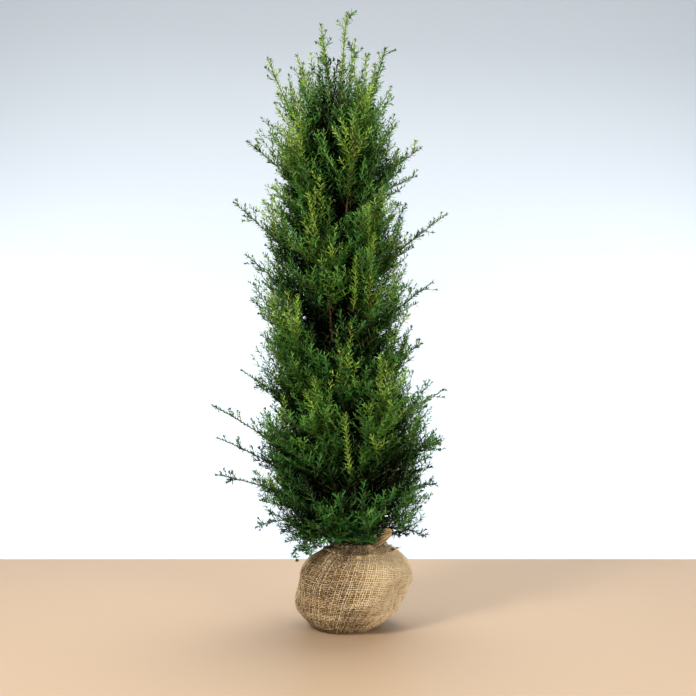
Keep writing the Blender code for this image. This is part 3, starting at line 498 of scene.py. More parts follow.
# Finer shoots in two ranks along the side shoots, shorter towards the tip, as many on each as branches says.
def growFine(mass, paths, lengths, luck, branches, fineShoots):
    which, order = numbered(np.where(lengths < fineShoot["leastParent"], 0, branches))
    share = (order + rng.uniform(*jitter, len(which))) / np.maximum(1, branches[which])
    share = fineShoot["start"] + (fineShoot["end"] - fineShoot["start"]) * share
    starts = alongPaths(paths, which, share)
    forward, side, upper = (unit(alongPaths(v, which, share)) for v in framesOf(paths))
    hand = np.where(order % 2 == 0, 1.0, -1.0)[:, None]
    out = unit(hand * side + rng.normal(*fineShoot["offPlane"], (len(which), 1)) * upper)
    slant = np.radians(fineShoot["slant"] * rng.uniform(*fineShoot["slantLuck"], len(which)))[:, None]
    ways = unit(np.cos(slant) * forward + np.sin(slant) * out + fineShoot["lift"] * upward)
    wanted = fineShoot["base"] + fineShoot["share"] * lengths[which] * (1 - share)
    wanted = np.minimum(wanted * rng.uniform(*fineShoot["lengthLuck"], len(which)), fineShoot["longest"])
    clear = roomFor(mass, starts + ways * wanted[:, None]) > 0.0
    wanted = np.where(clear, wanted, fineShoot["shorter"] * wanted)
    clear |= roomFor(mass, starts + ways * wanted[:, None]) > 0.0
    keep = clear & (wanted > fineShoot["shortest"]) & (depthInCrown(starts) < fineShoot["deepest"])
    keep &= rng.random(len(which)) > crownTop["fineThins"] * nearTop(starts[:, 2])
    paths = shootPaths(starts[keep], ways[keep], wanted[keep], fineShoot["upturn"], fineShoot["points"])
    luck = (luck[which] + rng.normal(0.0, fineShoot["luck"], len(which)))[keep]
    fineShoots.add(paths, dealTint(paths[:, -1], unit(paths[:, -1] - paths[:, 0]), luck))


# One mass: side shoots of both kinds off its stem, finer ones off those, and forks under its tip.
def growMass(mass, firstShoots, fineShoots):
    line = respaced(stems[names[mass]], mainStem["shapePoints"])
    massLuck = rng.uniform(-sideShoot["massLuck"], sideShoot["massLuck"])
    parents = []
    for kind in (slanting, erect):
        starts, ways, lengths = sideShoots(mass, line, kind)
        paths = shootPaths(starts, ways, lengths, sideShoot["upturn"], sideShoot["points"])
        luck = massLuck + kind["brighter"] + rng.normal(0.0, sideShoot["luck"], len(paths))
        firstShoots.add(paths, dealTint(paths[:, -1], unit(paths[:, -1] - paths[:, 0]), luck))
        parents.append((paths, lengths, luck))
    paths, lengths, luck = (np.concatenate(v) for v in zip(*parents))
    branches = ((lengths * (1 - fineShoot["start"])) / fineShoot["step"]).astype(int)
    branches[-len(parents[1][0]):] //= 3  # the erect ones are this year's and hardly branched
    growFine(mass, paths, lengths, luck, branches, fineShoots)
    starts, ways, lengths = tipForks(line, fork["onLeaders"] if "leader" in names[mass] else fork["number"])
    paths = shootPaths(starts, ways, lengths, sideShoot["upturn"], sideShoot["points"])
    firstShoots.add(paths, dealTint(paths[:, -1], ways, massLuck + rng.normal(*fork["luck"], len(paths))))


# Sprays from buds on the trunk itself: short and shaded, they close the view into the middle. slant is their
# angle over the level, and share their length as a share of the crown's radius. Their low luck deals them
# darker tints: painted shade inside the crown, over the real darker old needles there.
inner = dict(lowest=0.34, highest=1.78, step=0.0031, slant=(8.0, 58.0), share=(0.35, 0.85), luck=(-0.5, 0.3))


# Shoots by the golden angle up the trunk, out and upwards, kept where they clear the limbs and the ball.
def growInside(firstShoots, fineShoots):
    heights = np.arange(inner["lowest"], inner["highest"], inner["step"])
    count = len(heights)
    around = goldenAngle * np.arange(count)
    out = np.column_stack((np.cos(around), np.sin(around), np.zeros(count)))
    slant = np.radians(rng.uniform(*inner["slant"], count))[:, None]
    ways = roundAxis(slant, out, upward)
    centres, radii = trunkAt(heights)
    starts = centres + out * radii[:, None]
    lengths = crownRadius(heights) * rng.uniform(*inner["share"], count)
    keep = roomFor(None, starts + ways * lengths[:, None]) > 0.0
    starts, ways, lengths = starts[keep], ways[keep], lengths[keep]
    paths = shootPaths(starts, ways, lengths, sideShoot["upturn"], sideShoot["points"])
    luck = rng.normal(*inner["luck"], len(paths))
    firstShoots.add(paths, dealTint(paths[:, -1], ways, luck))
    growFine(None, paths, lengths, luck, (lengths / fineShoot["step"]).astype(int), fineShoots)


firstShoots = Shoots()
fineShoots = Shoots()
mainStems = Shoots()
for mass in range(len(names)):
    growMass(mass, firstShoots, fineShoots)
    line = respaced(stems[names[mass]], mainStem["points"])[None]
    tipWay = unit(line[:, -1] - line[:, -mainStem["tipPoints"]])
    mainStems.add(line, dealTint(line[:, -1], tipWay, rng.normal(*mainStem["luck"], 1)))
growInside(firstShoots, fineShoots)
for kind in (firstShoots, fineShoots, mainStems):
    kind.close()
for label, shoots in (("side shoots", firstShoots), ("finer ones", fineShoots)):
    print(label + ":", len(shoots.paths), "of", round(float(shoots.lengths.sum()), 1), "m in all")

# Long erect shoots of this year's growth stand out at places of their own on the front of the crown, given as
# side, foot height and tip height, and others like them at golden-angle turns round the other sides.
sprout = dict(front=((0.083, 1.30, 1.49), (0.040, 1.12, 1.31), (0.104, 1.16, 1.39), (0.184, 1.16, 1.31),
                     (-0.158, 0.98, 1.18), (0.004, 0.55, 0.78), (-0.097, 0.73, 0.90), (-0.122, 1.36, 1.53),
                     (0.122, 0.80, 0.98)),
              others=18, turns=(-20.0, 200.0), heights=(0.74, 1.76), tall=(0.14, 0.22), footAside=0.9,
              sunk=0.05, proud=0.034, points=10, frontLuck=1.0, otherLuck=-0.8)


# Each one runs straight up to its tip, a little proud of the closed crown, from the point of a side shoot
# that lies nearest to where its foot should be.
def growSprouts():
    feet, tips = [], []
    for side, low, high in sprout["front"]:
        middle = trunkAt(high)[0]
        aside = side - middle[0]
        y = middle[1] - math.sqrt(crownRadius(high) ** 2 - aside**2) - sprout["proud"]
        tips.append((side, y, high))
        feet.append((middle[0] + sprout["footAside"] * aside, y + sprout["sunk"], low))
    first, last = sprout["turns"]
    for number in range(sprout["others"]):
        out = heading(first + (number * goldenTurn) % (last - first))
        high = np.interp(number, (0, sprout["others"] - 1), sprout["heights"])
        tip = trunkAt(high)[0] + out * (crownRadius(high) + sprout["proud"])
        tips.append((*tip[:2], high))
        feet.append((*(tip - out * sprout["sunk"])[:2], high - rng.uniform(*sprout["tall"])))
    tips = np.array(tips)
    joints = firstShoots.paths[:, 1:-1].reshape(-1, 3)
    feet = np.array([joints[np.argmin(np.linalg.norm(joints - foot, axis=1))] for foot in feet])
    lengths = np.linalg.norm(tips - feet, axis=1)
    ways = unit(tips - feet)
    luck = np.where(np.arange(len(tips)) < len(sprout["front"]), sprout["frontLuck"], sprout["otherLuck"])
    shoots = Shoots()
    shoots.add(shootPaths(feet, ways, lengths, 0.0, sprout["points"]), dealTint(tips, ways, luck))
    shoots.close()
    return shoots


# A mesh from arrays, as a piece that rides on the one body and stands for the nodes named.
def newPiece(name, points, faces, finish, nodes):
    mesh = bpy.data.meshes.new(name)
    mesh.vertices.add(len(points))
    mesh.vertices.foreach_set("co", np.ascontiguousarray(points, np.float32).ravel())
    mesh.loops.add(faces.size)
    mesh.loops.foreach_set("vertex_index", np.ascontiguousarray(faces, np.int32).ravel())
    mesh.polygons.add(len(faces))
    mesh.polygons.foreach_set("loop_start", np.arange(len(faces), dtype=np.int32) * faces.shape[1])
    mesh.update(calc_edges=True)
    mesh.validate()
    mesh.shade_smooth()
    mesh.materials.append(finish)
    piece = bpy.data.objects.new(name, mesh)
    scene.collection.objects.link(piece)
    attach(piece, "root")
    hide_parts(*nodes)
    return piece


# The same faces again for so many copies, each with so many points of its own.
def copiesOf(faces, count, pointsEach):
    return (faces[None] + (np.arange(count) * pointsEach)[:, None, None]).reshape(-1, 3)


# Triangles of a wall that closes round on itself, from rows along it and columns round it.
def wallFaces(rows, columns):
    k, j = np.meshgrid(np.arange(rows - 1), np.arange(columns), indexing="ij")
    a = (k * columns + j).ravel()
    b = (k * columns + (j + 1) % columns).ravel()
    lower = np.column_stack((a, b, b + columns))
    return np.concatenate([lower, np.column_stack((a, b + columns, a + columns))])


# A closed tube round each path: rings of corners at even angles, joined by triangles, with both ends capped.
def tubes(paths, radii, sides):
    count, steps = radii.shape
    _, side, upper = framesOf(paths)
    angle = (np.arange(sides) * 2 * math.pi / sides)[:, None]
    ring = roundAxis(angle, side[:, :, None], upper[:, :, None])
    points = paths[:, :, None] + radii[:, :, None, None] * ring
    fan = np.arange(1, sides - 1)
    foot = np.column_stack((np.zeros_like(fan), fan + 1, fan))
    top = (steps - 1) * sides + np.column_stack((np.zeros_like(fan), fan, fan + 1))
    faces = np.concatenate([wallFaces(steps, sides), foot, top])
    return points.reshape(-1, 3), copiesOf(faces, count, steps * sides)


# A closed tube from a grid of points, rows along and columns round, with both ends fanned shut.
def gridTube(points):
    rows, columns = points.shape[:2]
    j = np.arange(columns)
    last = (rows - 1) * columns
    foot = np.column_stack((np.full(columns, rows * columns), (j + 1) % columns, j))
    top = np.column_stack((np.full(columns, rows * columns + 1), last + j, last + (j + 1) % columns))
    ends = np.stack((points[0].mean(axis=0), points[-1].mean(axis=0)))
    faces = np.concatenate([wallFaces(rows, columns), foot, top])
    return np.concatenate([points.reshape(-1, 3), ends]), faces


# An sRGB hex code as a linear colour.
def linear(code):
    values = [int(code[k:k + 2], 16) / 255 for k in (1, 3, 5)]
    return (*[v / 12.92 if v <= 0.04045 else ((v + 0.055) / 1.055) ** 2.4 for v in values], 1.0)


# A finish whose even values are set on the shader's own sockets.
def newFinish(name, sockets):
    made = bpy.data.materials.new(name)
    made.use_nodes = True
    shader = made.node_tree.nodes["Principled BSDF"]
    for socket, value in sockets.items():
        shader.inputs[socket].default_value = value
    return made, shader


# Adds one node with its settings. Each input, by name or number, is a value or the socket that feeds it.
def addNode(tree, kind, inputs, **settings):
    node = tree.nodes.new(kind)
    for key, value in settings.items():
        setattr(node, key, value)
    for key, value in inputs.items():
        if isinstance(value, bpy.types.NodeSocket):
            tree.links.new(value, node.inputs[key])
        else:
            node.inputs[key].default_value = value
    return node


# Needles are wider than life because there are fewer of them, and wider still in the shade. Their angles are
# to the shoot: on level shoots, on erect ones, and at the tip. Long proud shoots have short needles.
# Each kind of shoot has its needles' spacing and length as shares of the usual ones, where on it they begin,
# and the least share of them that stand all round it.
needle = dict(stems=(0.55, 0.84, 0.30, 0.75), side=(1.0, 1.0, 0.10, 0.35), fine=(1.0, 0.94, 0.04, 0.15),
              erect=(0.55, 1.0, 0.05, 0.85), stemDepth=0.10,
              spacing=0.0037, length=(0.021, 0.029), width=(0.0030, 0.0038), shadeWider=0.35, shadeDepth=0.09,
              leafyDepth=0.86, leastLeafy=0.13, leafyFade=0.03, overBall=0.004,
              lateralAngle=72.0, erectAngle=58.0, tipAngle=42.0, angleLuck=(0.88, 1.10), tipZone=0.022,
              erectFrom=0.45, erectFade=0.35, erectShorter=0.12, outerShorter=0.38, outerFrom=0.05,
              outerFade=0.06, outerUnder=1.7, outerUnderFade=0.4, rankSpread=(0.24, 0.5), rankRaised=0.22,
              faceInward=0.25, faceLuck=0.22, tipShorter=(0.50, 0.020), footShorter=(0.30, 5),
              curve=(-0.10, 0.16))
tuft = dict(needles=8, sunk=0.004, length=(0.006, 0.012), width=(0.0019, 0.0025), angle=(14, 66),
            curve=(-0.25, 0.0), side=1.1, stems=1.45, erect=1.2)


# Flat needles in arrays: a pointed hexagon, narrow at its base and parallel-sided, bent along its length as
# the square of the way to its tip.
def needleMesh(base, way, face, length, width, curve):
    across = unit(np.cross(way, face))
    face = np.cross(across, way)
    shares = np.array((0.0, 0.16, 0.16, 0.74, 0.74, 1.0))
    wide = np.array((0.0, -0.5, 0.5, -0.5, 0.5, 0.0))
    points = base[:, None] + way[:, None] * (length[:, None] * shares)[..., None]
    points = points + across[:, None] * (width[:, None] * wide)[..., None]
    points = points + face[:, None] * ((curve * length)[:, None] * shares**2)[..., None]
    faces = np.array(((0, 2, 1), (1, 2, 4), (1, 4, 3), (3, 4, 5)))
    return points.reshape(-1, 3), copiesOf(faces, len(base), len(shares))


# Needles along shoots. On a level shoot they stand in two ranks with their faces up, and on an erect one all
# round by the golden angle.
def needlesOn(shoots, kind):
    spacing, lengthScale, fromShare, leastRound = needle[kind]
    spacing = needle["spacing"] * spacing
    number = np.maximum(2, (shoots.lengths * (1 - fromShare) / spacing).astype(int))
    which, order = numbered(number)
    share = fromShare + (1 - fromShare) * (order + rng.random(len(which))) / number[which]
    base = alongPaths(shoots.paths, which, share)
    depth = depthInCrown(base)
    bare = np.maximum(needle["leafyDepth"] * crownRadius(base[:, 2]), needle["leastLeafy"])
    leafy = rng.random(len(which)) < np.clip((bare - depth) / needle["leafyFade"], 0.0, 1.0)
    leafy &= base[:, 2] > ballTopUnder(base) + needle["overBall"]
    which, order, share, base, depth = (v[leafy] for v in (which, order, share, base, depth))
    count = len(which)
    forward, side, upper = (unit(alongPaths(v, which, share)) for v in framesOf(shoots.paths))
    allRound = smooth((np.abs(forward[:, 2]) - needle["erectFrom"]) / needle["erectFade"])
    allRound = np.maximum(allRound, leastRound)
    rank = np.where(order % 2 == 0, 0.0, math.pi)
    least, more = needle["rankSpread"]
    spread = rng.normal(0.0, 1.0, count) * (least + more * allRound)
    ranked = rank + spread + needle["rankRaised"] * np.where(rank > 1.0, -1.0, 1.0)
    around = np.where(allRound > rng.random(count), order * goldenAngle, ranked)[:, None]
    out = roundAxis(around, side, upper)
    toTip = (1 - share) * shoots.lengths[which]
    lean = needle["lateralAngle"] + (needle["erectAngle"] - needle["lateralAngle"]) * allRound
    lean = needle["tipAngle"] + (lean - needle["tipAngle"]) * smooth(toTip / needle["tipZone"])
    lean = np.radians(lean * rng.uniform(*needle["angleLuck"], count))[:, None]
    way = unit(roundAxis(lean, forward, out))
    inward = np.sin(lean) * forward - np.cos(lean) * out
    face = upper * (1 - allRound)[:, None] + inward * (allRound + needle["faceInward"])[:, None]
    face = unit(face + rng.normal(0, needle["faceLuck"], base.shape))
    length = rng.uniform(*needle["length"], count) * lengthScale * (1.0 - needle["erectShorter"] * allRound)
    shorter, zone = needle["tipShorter"]
    length = length * (1 - shorter + shorter * smooth(toTip / zone))
    shorter, rise = needle["footShorter"]
    length = length * (1 - shorter + shorter * smooth(share * rise))
    proud = smooth((-depth - needle["outerFrom"]) / needle["outerFade"])
    lowDown = smooth((needle["outerUnder"] - base[:, 2]) / needle["outerUnderFade"])
    length = length * (1.0 - needle["outerShorter"] * lowDown * proud)
    shaded = 1.0 + needle["shadeWider"] * smooth(depth / needle["shadeDepth"])
    width = rng.uniform(*needle["width"], count) * shaded
    curve = rng.uniform(*needle["curve"], count)
    return shoots.tint[which], (base, way, face, length, width, curve)


# A tuft of short needles that closes round the bud at each shoot's tip, by the golden angle.
def tufts(shoots, kind):
    which = np.repeat(np.arange(len(shoots.paths)), tuft["needles"])
    count = len(which)
    forward, side, upper = (v[:, -1][which] for v in framesOf(shoots.paths))
    base = shoots.paths[:, -1][which] - forward * rng.uniform(0.0, tuft["sunk"], (count, 1))
    out = roundAxis((np.arange(count) * goldenAngle)[:, None], side, upper)
    lean = np.radians(rng.uniform(*tuft["angle"], (count, 1)))
    way = unit(roundAxis(lean, forward, out))
    face = np.sin(lean) * forward - np.cos(lean) * out
    length = rng.uniform(*tuft["length"], count) * tuft[kind]
    return base, way, face, length, rng.uniform(*tuft["width"], count), rng.uniform(*tuft["curve"], count)


# The same arrays of several parts, joined one by one.
def stacked(parts):
    return tuple(np.concatenate(values) for values in zip(*parts))


# The deep green, nearly black, is painted shade for sprays deep in the crown, over the real darker old
# needles.
needleColours = dict(deep="#07190a", dark="#1e471d", mid="#437838", fresh="#60903f", bright="#99b955",
                     bud="#1f3319")


# Yew needles: smooth leaves under a thin wax, half glossy, so that each one catches a short soft highlight.
def needleFinish(kind):
    return newFinish(f"waxyNeedle_{kind}", {"Base Color": linear(needleColours[kind]), "Roughness": 0.45,
                                            "Specular IOR Level": 0.32, "IOR": 1.45})[0]


leafySets = [needlesOn(firstShoots, "side"), needlesOn(fineShoots, "fine")]
mainTint, mainNeedles = needlesOn(mainStems, "stems")
outermost = depthInCrown(mainNeedles[0]) < needle["stemDepth"]  # the stems are bare further in
leafySets.append((mainTint[outermost], tuple(v[outermost] for v in mainNeedles)))
erectShoots = growSprouts()
leafySets.append(needlesOn(erectShoots, "erect"))

mostInPiece = 49000  # needles, which keeps a piece under 200,000 triangles
trianglesEach = 4
total = 0
for number, kind in enumerate(tints):
    data = stacked([tuple(v[tint == number] for v in values) for tint, values in leafySets])
    finish = needleFinish(kind)
    count = len(data[0])
    pieces = max(1, math.ceil(count / mostInPiece))
    for part in range(pieces):
        some = slice(part * count // pieces, (part + 1) * count // pieces)
        points, faces = needleMesh(*(v[some] for v in data))
        newPiece(f"needles_{kind}_{part + 1}", points, faces, finish, masses)
        total += len(faces) // trianglesEach
budNeedles = stacked([tufts(firstShoots, "side"), tufts(mainStems, "stems"), tufts(erectShoots, "erect")])
points, faces = needleMesh(*budNeedles)
newPiece("needles_bud", points, faces, needleFinish("bud"), masses)
print("needles:", total, "along the shoots and", len(faces) // trianglesEach, "round the buds")

# Young yew wood: older twigs in thin dry red-brown bark, dull, and green shoots with a slight skin shine.
oldTwig = newFinish("redBrownTwigBark", {"Base Color": linear("#6e5038"), "Roughness": 0.75})[0]
greenTwig = newFinish("greenShootBark", {"Base Color": linear("#8a9a4c"), "Roughness": 0.6})[0]

# Radii of the twigs at foot and tip, sides of their tubes, and every so many points of their paths kept.
twig = dict(stems=(0.0036, 0.0010, 5, 1), side=(0.0013, 0.0006, 3, 1), fine=(0.0009, 0.0006, 3, 3),
            erect=(0.0015, 0.0006, 4, 1))
for kind, shoots, finish in (("stems", mainStems, oldTwig), ("side", firstShoots, oldTwig),
                             ("fine", fineShoots, greenTwig), ("erect", erectShoots, greenTwig)):
    foot, tip, sides, every = twig[kind]
    count, steps = shoots.paths.shape[:2]
    radii = np.broadcast_to(foot + (tip - foot) * np.linspace(0.0, 1.0, steps), (count, steps))
    points, faces = tubes(shoots.paths[:, ::every], radii[:, ::every], sides)
    newPiece(f"twigs_{kind}", points, faces, finish, masses)
    print("twigs,", kind + ":", len(faces), "triangles")

barkSize = dict(plateDepth=0.0010, mostPlate=0.10, plateWaves=9, fluteDepth=0.035, footFlute=0.10,
                footFade=0.05, trunkRows=420, trunkColumns=32, boughRows=90, boughColumns=16)


# Sum of sine waves round and along, with whole numbers of waves round so that the seam closes.
def plates(around, along, seed):
    dice = np.random.default_rng(seed)
    total = np.zeros(np.broadcast(around, along).shape)
    for _ in range(barkSize["plateWaves"]):
        turns = dice.integers(1, 7)
        total = total + np.sin(turns * around + dice.uniform(40, 190) * along + dice.uniform(0, 2 * math.pi))
    return total / math.sqrt(barkSize["plateWaves"])


# A limb as a tube whose radius swells in three flutes, in five more that fade up from the foot, and steps at
# the edges of bark plates.
def barkTube(path, radii, columns, seed, footFlute):
    _, side, upper = framesOf(path[None])
    angle = np.arange(columns) * 2 * math.pi / columns
    along = runAlong(path)[:, None]
    relief = barkSize["plateDepth"] * np.tanh(2.2 * plates(angle[None], along, seed))
    relief = np.minimum(relief, barkSize["mostPlate"] * radii[:, None])
    foot = footFlute * np.exp(-along / barkSize["footFade"]) * np.cos(5 * angle[None] + 0.8)
    flutes = barkSize["fluteDepth"] * np.cos(3 * angle[None] + 5 * along)
    radius = radii[:, None] * (1 + flutes + foot) + relief
    ring = roundAxis(angle[None, :, None], side[0][:, None], upper[0][:, None])
    return gridTube(path[:, None] + radius[..., None] * ring)


# Yew bark: thin dry scales that peel off a darker, purplish layer, matt, red-brown and greyer where they are
# old. Scales are about 9 mm across and three times as tall, with grain of 2 mm on them.
def barkFinish():
    made, shader = newFinish("scalyYewBark", {"Roughness": 0.82})
    tree = made.node_tree
    place = addNode(tree, "ShaderNodeTexCoord", {}).outputs["Object"]
    tall = addNode(tree, "ShaderNodeMapping", {"Vector": place, "Scale": (1.0, 1.0, 0.32)}).outputs[0]
    scales = addNode(tree, "ShaderNodeTexVoronoi", {"Vector": tall, "Scale": 110.0},
                     feature="DISTANCE_TO_EDGE")
    grain = addNode(tree, "ShaderNodeTexNoise", {"Vector": tall, "Scale": 420.0, "Detail": 4.0})
    patches = addNode(tree, "ShaderNodeTexNoise", {"Vector": place, "Scale": 38.0, "Detail": 3.0})
    ramp = addNode(tree, "ShaderNodeValToRGB", {"Fac": patches.outputs["Fac"]})
    marks = ramp.color_ramp.elements
    marks.new(0.52)
    for mark, (position, code) in zip(marks, ((0.34, "#35231c"), (0.52, "#483025"), (0.68, "#6b5142"))):
        mark.position = position
        mark.color = linear(code)
    cracks = addNode(tree, "ShaderNodeMapRange", {"Value": scales.outputs["Distance"], "From Min": 0.0,
                                                  "From Max": 0.10, "To Min": 0.45, "To Max": 1.0})
    dark = addNode(tree, "ShaderNodeMix", {0: 1.0, 6: ramp.outputs["Color"], 7: cracks.outputs[0]},
                   data_type="RGBA", blend_type="MULTIPLY")
    tree.links.new(dark.outputs[2], shader.inputs["Base Color"])
    height = addNode(tree, "ShaderNodeMath", {0: cracks.outputs[0], 1: 0.8, 2: grain.outputs["Fac"]},
                     operation="MULTIPLY_ADD")
    bump = addNode(tree, "ShaderNodeBump", {"Strength": 0.5, "Distance": 0.0012, "Height": height.outputs[0]})
    tree.links.new(bump.outputs[0], shader.inputs["Normal"])
    return made


limbBark = barkFinish()
rows = barkSize["trunkRows"]
radii = np.interp(np.linspace(0, 1, rows), np.linspace(0, 1, trunk["points"]), trunkRadii)
points, faces = barkTube(respaced(trunkCentres, rows), radii, barkSize["trunkColumns"], 5,
                         barkSize["footFlute"])
newPiece("trunk_bark", points, faces, limbBark, ["trunk"])
rows = barkSize["boughRows"]
radii = np.linspace(bough["foot"], bough["tip"], rows)
for number, (name, path, _) in enumerate(boughLines()):
    points, faces = barkTube(respaced(path, rows), radii, barkSize["boughColumns"], 20 + number, 0.0)
    newPiece(name + "_bark", points, faces, limbBark, [name])
print("bark: a trunk and", len(boughLines()), "boughs")

# The sacking: warps run up the ball and lean to the knot, wefts run round it. Yarns are spaced about 7 mm,
# coarser than the real cloth's 3 to 5 mm, so that each still shows as a yarn.
sacking = dict(rows=150, columns=300, underRows=6, collarRows=15, lowest=math.radians(147.3),
               highest=math.radians(16.7), backing=-0.0022, collar=0.031, collarRise=0.009,
               warps=180, wefts=70, twist=0.80, warpUneven=0.34, weftUneven=0.17, wave=0.006, wander=0.0022,
               yarnWidth=0.0038, gapShare=0.30, yarnHeight=0.0011, over=0.0007, proud=0.0003,
               yarnLuck=(0.62, 1.18), widthLuck=(0.8, 1.2), topFold=0.0022, sideFold=0.0013, lowFold=0.0016)


# The solid's own lumpy, leaning, pressed sphere: sine lumps, a bulge and a crease as bell curves, pleats that
# fade in towards the top, and a drape of uneven waves. Three sets of finer folds are added to it.
def ballSkin(azimuth, polar, grow):
    z = np.cos(polar)
    level = ball["middle"] + ball["rise"] * z
    lump = np.sin(3 * azimuth + 9 * level / ball["rise"]) + 0.7 * np.sin(5 * azimuth - 6 * z + 1.3)
    swell = ball["lump"] * lump
    turn = np.arctan2(np.sin(azimuth), np.cos(azimuth))
    offBulge = ((level - ball["bulgeLevel"]) / ball["bulgeSpread"]) ** 2
    swell = swell + ball["bulge"] * np.exp(-((turn / ball["bulgeWidth"]) ** 2) - offBulge)
    top = smooth((z - 0.45) / 0.4)
    swell = swell + ball["pleatDepth"] * top * np.cos(ball["pleats"] * azimuth + 2.0 * z)
    uneven = 7 * azimuth + 3 * np.sin(2 * azimuth) + 4 * z
    swell = swell + ball["drape"] * smooth((z + 0.6) / 0.8) * np.sin(uneven)
    crease = turn + 0.35 - 1.9 * (level - 0.2)
    creased = smooth((z + 0.35) / 0.5)
    swell = swell + ball["crease"] * np.exp(-((crease / ball["creaseWidth"]) ** 2)) * creased
    swell = swell - ball["hollow"] * np.exp(-(((crease - 0.16) / ball["hollowWidth"]) ** 2)) * creased
    uneven = 17 * azimuth + 3 * np.sin(2 * azimuth) + 6 * z
    folds = sacking["topFold"] * top * np.cos(23 * azimuth + 5 * z + 1.0)
    folds = folds + sacking["sideFold"] * smooth((z + 0.3) / 0.8) * np.sin(uneven)
    folds = folds + sacking["lowFold"] * smooth((-z - 0.35) / 0.4) * np.sin(19 * azimuth - 4 * z)
    reach = ball["radius"] + grow + swell + folds
    shoulder = ball["shoulder"]
    pressed = np.where(level > shoulder, shoulder + (level - shoulder) * ball["press"], level)
    height = np.maximum(pressed + grow * z, 0.0)
    across = np.sin(polar) * reach
    corners = (across * np.cos(azimuth) + ball["lean"] * height, across * np.sin(azimuth), height)
    return np.stack(np.broadcast_arrays(*corners), axis=-1)


# Outward normals, from the differences of the skin round and down.
def ballNormal(azimuth, polar):
    step = 0.01
    sideStep = ballSkin(azimuth + step, polar, 0.0) - ballSkin(azimuth - step, polar, 0.0)
    downStep = ballSkin(azimuth, polar + step, 0.0) - ballSkin(azimuth, polar - step, 0.0)
    return unit(np.cross(downStep, sideStep))


# Rows of the cloth from the middle of the flat underside, up the side, and in over the gathered collar, which
# rises in a half sine wave with a ruffled edge.
def clothGrid(grow):
    azimuth = np.arange(sacking["columns"])[None] * 2 * math.pi / sacking["columns"]
    polar = np.linspace(sacking["lowest"], sacking["highest"], sacking["rows"])[:, None]
    body = ballSkin(azimuth, polar, grow)
    under = body[0] * np.linspace(0.10, 0.94, sacking["underRows"])[:, None, None]
    t = np.linspace(0.0, 1.0, sacking["collarRows"])[1:, None, None]
    rim = body[-1]
    centre = np.array((trunkCentres[0, 0], trunkCentres[0, 1], 0.0))
    away = unit((rim - centre) * sideways)
    inmost = centre + away * sacking["collar"] + np.array((0.0, 0.0, ball["top"]))
    ruffle = np.cos(13 * azimuth + 1.0)[..., None] * 0.5 + np.sin(29 * azimuth)[..., None] * 0.3
    rise = sacking["collarRise"] * np.sin(math.pi * t**0.8) * (1.0 + 0.5 * ruffle)
    collar = rim * (1 - t) + inmost * t + rise * upward
    return np.concatenate([under, body, collar])


# Soil has stained the cloth and its yarns. A jute face's score picks its finish, from 0 for the cleanest to 1
# for the darkest, soil with painted shade on it: here are a base, what soil adds, and the luck of each yarn
# and face. The backing's high base is soil that shows through the weave, with painted shade in its holes.
soil = dict(low=0.75, left=0.10, rim=0.40, patch=0.40, clean=1.30, backingSoilAndShade=0.78, clothSoil=0.20,
            yarnBase=0.30, yarnSoil=0.36, yarnLuck=(-1.0, 0.9), faceLuck=0.20, yarnMost=0.79,
            fibreMost=0.6, fibreClean=1.6, hemLuck=0.45, hemFaceLuck=0.10, knotBase=0.10, knotLuck=0.35,
            knotYarns=(0.1, 0.8))


# How much soil a point has: most low down, at the rim and in odd patches, and least at the right.
def soilOn(points):
    x, y, z = points[..., 0], points[..., 1], points[..., 2]
    low = smooth((0.075 - z) / 0.07)
    left = smooth((-x - 0.02) / 0.12) * smooth((z - 0.13) / 0.10)
    rim = smooth((z - 0.262) / 0.03)
    patch = 0.5 + 0.5 * np.sin(21 * x + 3.0) * np.sin(17 * z + 9 * y)
    clean = smooth((x - 0.01) / 0.14)
    stain = soil["low"] * low + soil["left"] * left + soil["rim"] * rim + soil["patch"] * patch
    return stain - soil["clean"] * clean


# Jute yarn: coarse hairy spun fibre, matt with a faint sheen, straw-coloured, and darker where soil has
# worked in. Its fibres are under 0.1 mm, and are drawn about 1 mm across so that the spin still shows.
def juteFinish(kind, darkCode, lightCode):
    made, shader = newFinish(f"spunJute_{kind}", {"Roughness": 0.9, "Sheen Weight": 0.15,
                                                  "Sheen Roughness": 0.6})
    tree = made.node_tree
    place = addNode(tree, "ShaderNodeTexCoord", {}).outputs["Object"]
    fibres = addNode(tree, "ShaderNodeTexNoise", {"Vector": place, "Scale": 950.0, "Detail": 3.0,
                                                  "Roughness": 0.65}).outputs["Fac"]
    ramp = addNode(tree, "ShaderNodeValToRGB", {"Fac": fibres})
    marks = ramp.color_ramp.elements
    for mark, (position, code) in zip(marks, ((0.32, darkCode), (0.66, lightCode))):
        mark.position = position
        mark.color = linear(code)
    tree.links.new(ramp.outputs["Color"], shader.inputs["Base Color"])
    bump = addNode(tree, "ShaderNodeBump", {"Strength": 0.4, "Distance": 0.0006, "Height": fibres})
    tree.links.new(bump.outputs[0], shader.inputs["Normal"])
    return made


# The last, nearly black finish is soil with painted shade on it, and only the backing under the weave takes
# it.
juteKinds = [juteFinish("clean", "#c4aa80", "#f7e6c4"), juteFinish("worn", "#987f52", "#d9c194"),
             juteFinish("dusty", "#6e5634", "#aa8d64"), juteFinish("soiled", "#3b2914", "#755935"),
             juteFinish("shadedSoil", "#150d06", "#3a2a17")]


# A piece of jute whose faces take the clean finish at a score of 0, and the darkest one at 1.
def jutePiece(name, points, faces, score, node):
    piece = newPiece(name, points, faces, juteKinds[0], [node])
    for kind in juteKinds[1:]:
        piece.data.materials.append(kind)
    index = np.clip(score * len(juteKinds), 0, len(juteKinds) - 1).astype(np.int32)
    piece.data.polygons.foreach_set("material_index", index)


